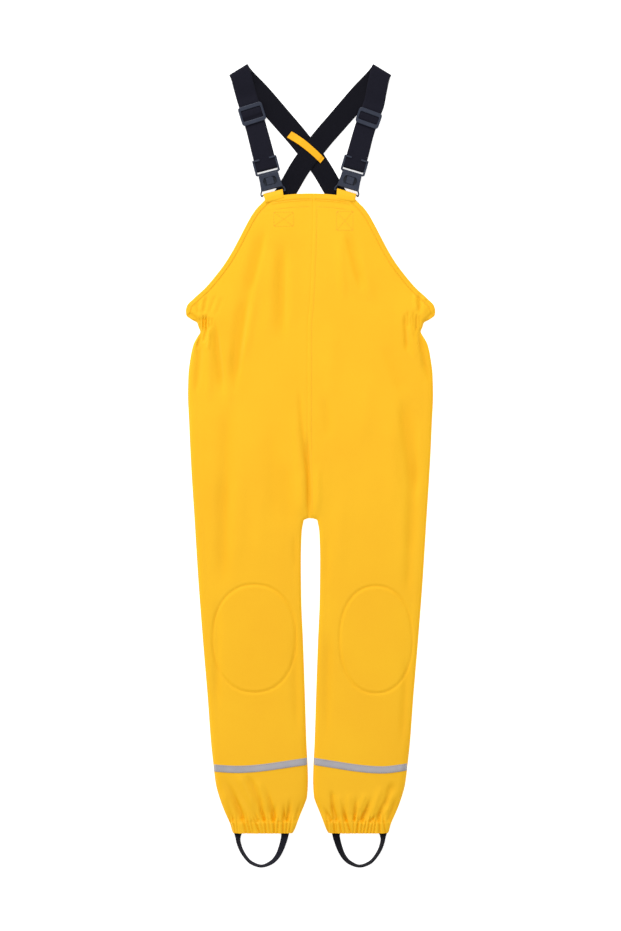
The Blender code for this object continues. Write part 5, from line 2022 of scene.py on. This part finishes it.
@dataclass
class Moulding:
    """A plastic piece made of plates with rounded edges, in its own across, down and up."""

    name: str
    origin: Points
    across: Points
    down: Points
    points: list[tuple[float, float, float]] = field(default_factory=list)
    faces: Faces = field(default_factory=list)

    def ring(self, loop: Points, inset: float) -> Points:
        """A closed loop moved to its left by an inset.

        Args:
            loop: the loop's points.
            inset: how far it moves.

        Returns:
            The moved loop.
        """
        ahead = np.roll(loop, -1, axis=0) - np.roll(loop, 1, axis=0)
        ahead /= np.maximum(np.linalg.norm(ahead, axis=1), TINY)[:, None]
        return loop + np.column_stack([-ahead[:, 1], ahead[:, 0]]) * inset

    def plate(self, outline: Line, low: float, high: float, edge: float = 0.5,
              holes: Sequence[Line] = (), crown: float = 0.0) -> None:
        """Adds a plate between two heights.

        Args:
            outline: its corners in across and down.
            low: the height of its underside.
            high: the height of its top.
            edge: the size of its rounded edges.
            holes: outlines of the holes through it.
            crown: how much its middle rises over its rim.
        """
        loops = []
        for k, raw in enumerate([outline, *holes]):
            loop = np.array(raw, float)
            turn = np.sum(loop[:, 0] * np.roll(loop[:, 1], -1) - loop[:, 1] * np.roll(loop[:, 0], -1))
            loops.append(loop if (turn > 0) == (k == 0) else loop[::-1])
        angles = np.radians([0.0, 30.0, 60.0, 90.0])
        sections = [(edge + 0.25, low)]
        sections += [(edge * (1 - math.cos(a)), low + edge * (1 - math.sin(a))) for a in angles[::-1]]
        sections += [(edge * (1 - math.cos(a)), high - edge * (1 - math.sin(a))) for a in angles]
        sections.append((edge + 0.25, high + 0.06 * crown))
        whole = []
        for inset, z in sections:
            whole.append((np.vstack([self.ring(loop, inset) for loop in loops]), z))
        size = len(whole[0][0])
        first = len(self.points)
        for plan, z in whole:
            self.points += [(float(u), float(v), z) for u, v in plan]
        starts = np.cumsum([0] + [len(loop) for loop in loops])
        for k in range(len(sections) - 1):
            for start, end in zip(starts, starts[1:]):
                for i in range(start, end):
                    j = start + (i + 1 - start) % (end - start)
                    a, b = first + k * size, first + (k + 1) * size
                    self.faces.append((a + i, a + j, b + j, b + i))
        self.cap(whole[0][0], starts, first, True, 0.0)
        self.cap(whole[-1][0], starts, first + (len(sections) - 1) * size, False, crown)

    def cap(self, plan: Points, starts: Points, first: int, under: bool, crown: float) -> None:
        """Closes a plate's top or underside inside its last ring.

        Args:
            plan: the ring's points.
            starts: where each of its loops starts.
            first: the number of its first point.
            under: whether it faces down.
            crown: how much its middle rises.
        """
        edges = []
        for start, end in zip(starts, starts[1:]):
            edges += [(int(i), int(start + (i + 1 - start) % (end - start))) for i in range(start, end)]
        holes = [[tuple(q) for q in plan[start:end]] for start, end in zip(starts[1:], starts[2:])]
        rim = plan[: starts[1]]
        middle = rim.mean(axis=0)
        extra = []
        if crown:
            extra = [tuple(middle + (p - middle) * share) for share in (0.75, 0.4) for p in rim]
            for hole in holes:
                extra = [p for p in extra if outside_distance(np.array([p]), hole)[0] > EDGE_MARGIN]
        spots = [Vector(tuple(p)) for p in plan] + [Vector(p) for p in extra]
        found = delaunay_2d_cdt(spots, edges, [], 1, 1e-6)
        numbers, z = {}, self.points[first][2]
        half = np.abs(plan - middle).max(axis=0)
        for index, vertex in enumerate(found[0]):
            known = [i for i in found[3][index] if i < len(plan)]
            if known:
                numbers[index] = first + known[0]
            else:
                far = np.abs(np.array(tuple(vertex)) - middle) / half
                self.points.append((vertex[0], vertex[1], z + 0.94 * crown * float(np.prod(1 - far**2))))
                numbers[index] = len(self.points) - 1
        for face in found[2]:
            centre = np.mean([tuple(found[0][i]) for i in face], axis=0)[None]
            if all(outside_distance(centre, hole)[0] > 0 for hole in holes):
                corners = tuple(numbers[i] for i in face)
                self.faces.append(corners[::-1] if under else corners)

    def make(self, material: Material) -> Piece:
        """Places the piece on the garment.

        Args:
            material: its finish.

        Returns:
            The new piece.
        """
        local = np.array(self.points)
        plan = self.origin + local[:, :1] * self.across + local[:, 1:2] * self.down
        flipped = self.across[0] * self.down[1] - self.across[1] * self.down[0] < 0
        faces = [face[::-1] for face in self.faces] if flipped else self.faces
        return make_piece(self.name, np.column_stack([plan, local[:, 2]]), faces, material, 42.0)


@dataclass
class Slider:
    """The frame that sets a brace's length: a rounded ring with a lower bar across its middle."""

    brace: BraceSet
    start: float = 0.8
    bar: float = 4.9
    rail: float = 2.7
    low: float = 3.4
    high: float = 5.3
    rest: float = 1.7
    corner: float = 4.2
    window_corner: float = 1.6
    bar_top: float = 3.0
    bar_rows: Pair = (8.2, 12.6)

    def build(self) -> list[Piece]:
        """The slider.

        Returns:
            The slider alone.
        """
        brace = self.brace
        name = f"brace_slider_{brace.side.word}"
        piece = Moulding(name, brace.slider_top, brace.slide_across, brace.slide_down)
        half = brace.places.slider_half
        inner = half - self.rail
        end = self.start + brace.places.slider_length
        ring = rounded(box(-half, half, self.start, end), self.corner, 7)
        opening = box(-inner, inner, self.start + self.bar, end - self.bar)
        window = rounded(opening, self.window_corner)
        piece.plate(ring, self.low, self.high, 0.8, [window])
        for sign in (-1, 1):
            ends = sorted((sign * (inner - 1.2), sign * (half - 0.5)))
            piece.plate(box(*ends, *self.bar_rows), self.rest, self.low + 0.6, 0.3)
        piece.plate(box(-inner, inner, *self.bar_rows), self.rest, self.bar_top, 0.4)
        made = piece.make(brace.wardrobe.plastic)
        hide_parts(f"slider_{brace.side.word}")
        return [made]


@dataclass
class Buckle:
    """A side-release clip: the upper frame with its housing, and the lower half with its button."""

    brace: BraceSet
    half: float = 15.0
    rail: float = 2.45
    top: float = 5.6
    window_bow: float = 1.8
    window_v: float = 28.2
    window_half: Pair = (6.4, 4.4)
    housing_end: float = 38.0
    rest: float = 1.7
    loop_bar: Line = field(default_factory=lambda: [
        (-14.2, 17.1), (14.2, 17.1), (14.4, 18.0), (12.9, 19.5), (-12.9, 19.5), (-14.4, 18.0),
    ])
    hook: Line = field(default_factory=lambda: [
        (12.6, -0.8), (14.4, 0.6), (15.6, 3.4), (15.4, 5.9), (13.9, 6.9), (12.7, 6.2),
        (12.9, 5.3), (13.9, 4.9), (13.9, 3.2), (13.0, 1.6), (12.0, 0.2),
    ])

    def moulding(self, name: str) -> Moulding:
        """An empty piece in the buckle's own directions."""
        brace, whole = self.brace, f"{name}_{self.brace.side.word}"
        return Moulding(whole, brace.buckle, brace.buckle_across, brace.buckle_down)

    def window(self) -> Line:
        """The housing's window, with sides that bow outward past the button.

        Returns:
            The window's outline.
        """
        across, along = self.window_half
        rows = np.linspace(-1, 1, 9)
        right = [(across + self.window_bow * (1 - r * r), self.window_v + along * r) for r in rows]
        return right + [(-u, v) for u, v in right[::-1]]

    def build_upper(self) -> Piece:
        """The frame that hangs in the brace's loop, and the housing below it.

        Returns:
            The upper half.
        """
        piece = self.moulding("buckle_upper")
        for sign in (-1, 1):
            side = sorted((sign * (self.half - self.rail), sign * self.half))
            piece.plate(rounded(box(*side, 0.0, 18.4), 0.6, 3), self.rest, self.top, 0.5)
            lip = sorted((sign * 5.8, sign * (self.half - 0.3)))
            piece.plate(rounded(box(*lip, 0.1, 2.2), 0.8, 3), 5.7, 6.7, 0.35)
        piece.plate(box(-13.7, 13.7, 4.4, 10.3), self.rest, 3.7, 0.5)
        piece.plate(rounded(self.loop_bar, 0.8, 3), 2.2, 6.0, 0.6)
        end = self.housing_end
        shell = [(-12.0, 19.2), (12.0, 19.2), (12.3, 27.0), (13.5, end), (-13.5, end), (-12.3, 27.0)]
        corners = [2.4, 2.4, 1.5, 1.0, 1.0, 1.5]
        piece.plate(rounded(shell, corners), 1.8, 2.9, 0.3)
        for sign in (-1, 1):
            wall = [(9.4, 20.0), (11.7, 20.0), (13.2, end - 0.2), (9.4, end - 0.2)]
            piece.plate(rounded([(sign * u, v) for u, v in wall], 0.3, 2), 2.7, 6.4, 0.2)
        piece.plate(rounded(shell, corners), 6.0, 7.4, 0.65, [self.window()], 0.1)
        rim = [(u * 1.14, self.window_v + (v - self.window_v) * 1.15) for u, v in self.window()]
        piece.plate(rounded(rim, 0.6, 2), 7.1, 7.6, 0.2, [self.window()])
        made = piece.make(self.brace.wardrobe.plastic)
        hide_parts(f"buckle_frame_{self.brace.side.word}")
        return made

    def build_lower(self) -> Piece:
        """The half that holds the yellow tab, with its button in the housing's window.

        Returns:
            The lower half.
        """
        piece = self.moulding("buckle_lower")
        v, end = self.window_v, self.housing_end
        piece.plate(box(-8.8, 8.8, v + 4.9, end + 0.2), 3.2, 5.4, 0.3)
        piece.plate(box(-4.6, 4.6, v - 5.5, v + 5.2), 3.2, 5.4, 0.3)
        piece.plate(rounded(box(-4.5, 4.5, v - 4.25, v + 4.25), 0.7), 4.9, 7.35, 0.4, (), 0.2)
        piece.plate(rounded(box(-13.8, 13.8, end - 1.0, end + 0.35), 0.4, 2), 2.6, 5.8, 0.3)
        for sign in (-1, 1):
            hook = rounded([(sign * u, end + down) for u, down in self.hook], 0.7, 3)
            piece.plate(hook, 2.6, 5.6, 0.35)
        piece.plate(rounded(box(-13.6, 13.6, TAB_BAR_V - 0.7, TAB_BAR_V + 0.7), 0.4, 2), 3.3, 4.5, 0.4)
        made = piece.make(self.brace.wardrobe.plastic)
        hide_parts(f"buckle_tongue_{self.brace.side.word}")
        return made

    def build(self) -> list[Piece]:
        """Both halves."""
        return [self.build_upper(), self.build_lower()]


@dataclass
class FootStrap:
    """An elastic that goes under the boot, with both ends sewn inside the cuff."""

    side: Side
    wardrobe: Wardrobe

    def build(self) -> list[Piece]:
        """The strap, standing on its edge where it bends.

        Returns:
            The strap alone.
        """
        sign, path = self.side.value, StrapPath()
        flat = np.array([(sign * row.x, row.y) for row in FOOT_STRAP_ROWS])
        for row, place, step in zip(FOOT_STRAP_ROWS, flat, directions(flat)):
            turn = math.radians(row.turn)
            resting = BACK_TOP + GAP + FOOT_STRAP / 2 if row.turn < 10 else 0.0
            standing = FOOT_STRAP_HALF * math.sin(turn) + FOOT_STRAP / 2 * math.cos(turn) + 0.05
            across = np.array([step[1], -step[0]]) * sign
            path.add(place, max(resting, standing), across, FOOT_STRAP_HALF, turn)
        name, elastic = f"foot_strap_band_{self.side.word}", self.wardrobe.foot_elastic
        piece, length = Strip(name, path, FOOT_STRAP, elastic, step=1.4, columns=9).make()
        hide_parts(f"foot_strap_{self.side.word}")
        return [piece]


@dataclass
class Keeper:
    """The yellow strip that holds the two braces together at their crossing.

    It runs from start toward end. Each row gives its place along, height, half width and bow.
    """

    wardrobe: Wardrobe
    start: Pair = (-25.0, 397.5)
    end: Pair = (12.0, 368.6)
    cloth: float = 1.0
    rows: tuple[tuple[float, float, float, float], ...] = (
        (0.0, 2.2, 4.6, -0.7), (6.0, 2.25, 4.6, 0.1), (11.5, 2.8, 4.5, 0.6), (18.5, 3.9, 4.4, 0.9),
        (30.0, 3.95, 4.2, 0.7), (40.0, 3.95, 4.1, 0.1), (46.4, 3.4, 4.0, -0.6), (49.0, 2.3, 3.9, -0.9),
        (50.6, 2.2, 3.9, -1.1),
    )

    def build(self) -> list[Piece]:
        """The strip over the upper brace.

        Returns:
            The strip alone.
        """
        start, end = np.array(self.start), np.array(self.end)
        ahead = (end - start) / np.linalg.norm(end - start)
        across = np.array([-ahead[1], ahead[0]])
        path = StrapPath()
        for along, z, half, bow in self.rows:
            path.add(start + ahead * along + across * bow, z, across, half)
        cloth = self.wardrobe.keeper_cloth_painted_shade
        piece, length = Strip("keeper_strip", path, self.cloth, cloth, step=1.0, columns=9).make()
        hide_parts("keeper")
        return [piece]


# Floor, light and camera


@dataclass
class Studio:
    """A pale floor, soft light mostly from the top of the picture, and a camera straight above."""

    picture_height: float = 931 * 1.2
    lens: float = 85.0
    sensor: float = 36.0
    floor_glow: float = 0.6
    floor_half: float = 40000.0
    floor_drop: float = 0.15
    room_light: float = 0.5

    def floor(self) -> None:
        """The surface that the garment lies on."""
        size = self.floor_half
        plan = ((-size, -size), (size, -size), (size, size), (-size, size))
        points = np.array([(x, y, -self.floor_drop) for x, y in plan])
        mesh = bpy.data.meshes.new("pale_floor")
        mesh.from_pydata((points * MM).tolist(), [], [(0, 1, 2, 3)])
        board = NodeBoard("pale_floor")
        board.shader.inputs["Base Color"].default_value = (0.86, 0.86, 0.86, 1.0)
        board.shader.inputs["Emission Color"].default_value = (1.0, 1.0, 1.0, 1.0)
        board.shader.inputs["Emission Strength"].default_value = self.floor_glow
        mesh.materials.append(board.finish(0.8, specular=0.1))
        made = bpy.data.objects.new("pale_floor", mesh)
        bpy.context.scene.collection.objects.link(made)

    @staticmethod
    def softbox(name: str, place: tuple[float, float, float], size: Pair, power: float) -> None:
        """A rectangular light that looks at the garment's middle.

        Args:
            name: its name.
            place: where it stands, in metres.
            size: its width and height, in metres.
            power: its power in watts.
        """
        light = bpy.data.lights.new(name, "AREA")
        light.shape = "RECTANGLE"
        light.size, light.size_y = size
        light.energy = power
        made = bpy.data.objects.new(name, light)
        made.location = place
        made.rotation_euler = (-Vector(place)).to_track_quat("-Z", "Y").to_euler()
        bpy.context.scene.collection.objects.link(made)

    def lights(self) -> None:
        """The lights and the grey room."""
        self.softbox("key_light", (-0.35, 1.9, 1.3), (1.2, 0.7), 30.0)
        self.softbox("fill_light", (0.2, -0.3, 2.9), (2.0, 1.4), 16.0)
        self.softbox("left_light", (-2.0, 0.2, 0.9), (0.7, 1.4), 15.0)
        self.softbox("right_light", (2.0, 0.2, 0.9), (0.7, 1.4), 4.0)
        world = bpy.data.worlds.new("grey_room")
        world.use_nodes = True
        room = world.node_tree.nodes["Background"]
        room.inputs["Color"].default_value = (1.0, 1.0, 1.0, 1.0)
        room.inputs["Strength"].default_value = self.room_light
        bpy.context.scene.world = world

    def camera(self) -> None:
        """The camera, straight above the picture's middle."""
        data = bpy.data.cameras.new("camera")
        data.lens, data.sensor_width = self.lens, self.sensor
        data.dof.use_dof = False
        made = bpy.data.objects.new("camera", data)
        made.location = (0.0, 0.0, self.picture_height * MM * self.lens / self.sensor)
        bpy.context.scene.collection.objects.link(made)
        bpy.context.scene.camera = made

    def build(self) -> None:
        """Floor, lights and camera."""
        bpy.context.scene.view_settings.view_transform = "Standard"
        self.camera()
        self.floor()
        self.lights()


def main() -> None:
    """Builds every piece in order."""
    logging.basicConfig(level=logging.INFO, format="%(name)s: %(message)s")
    Studio().build()
    wardrobe, form = Wardrobe(), ClothForm()
    builders = [TrouserHalf(side, form, wardrobe) for side in Side]
    braces = [BraceSet(side, form, wardrobe) for side in Side]
    builders += braces + [Slider(brace) for brace in braces] + [Buckle(brace) for brace in braces]
    builders += [FootStrap(side, wardrobe) for side in Side]
    builders.append(Keeper(wardrobe))
    for builder in builders:
        for piece in builder.build():
            LOG.info("%s: %d faces", piece.name, len(piece.data.polygons))


if __name__ == "__main__":
    main()
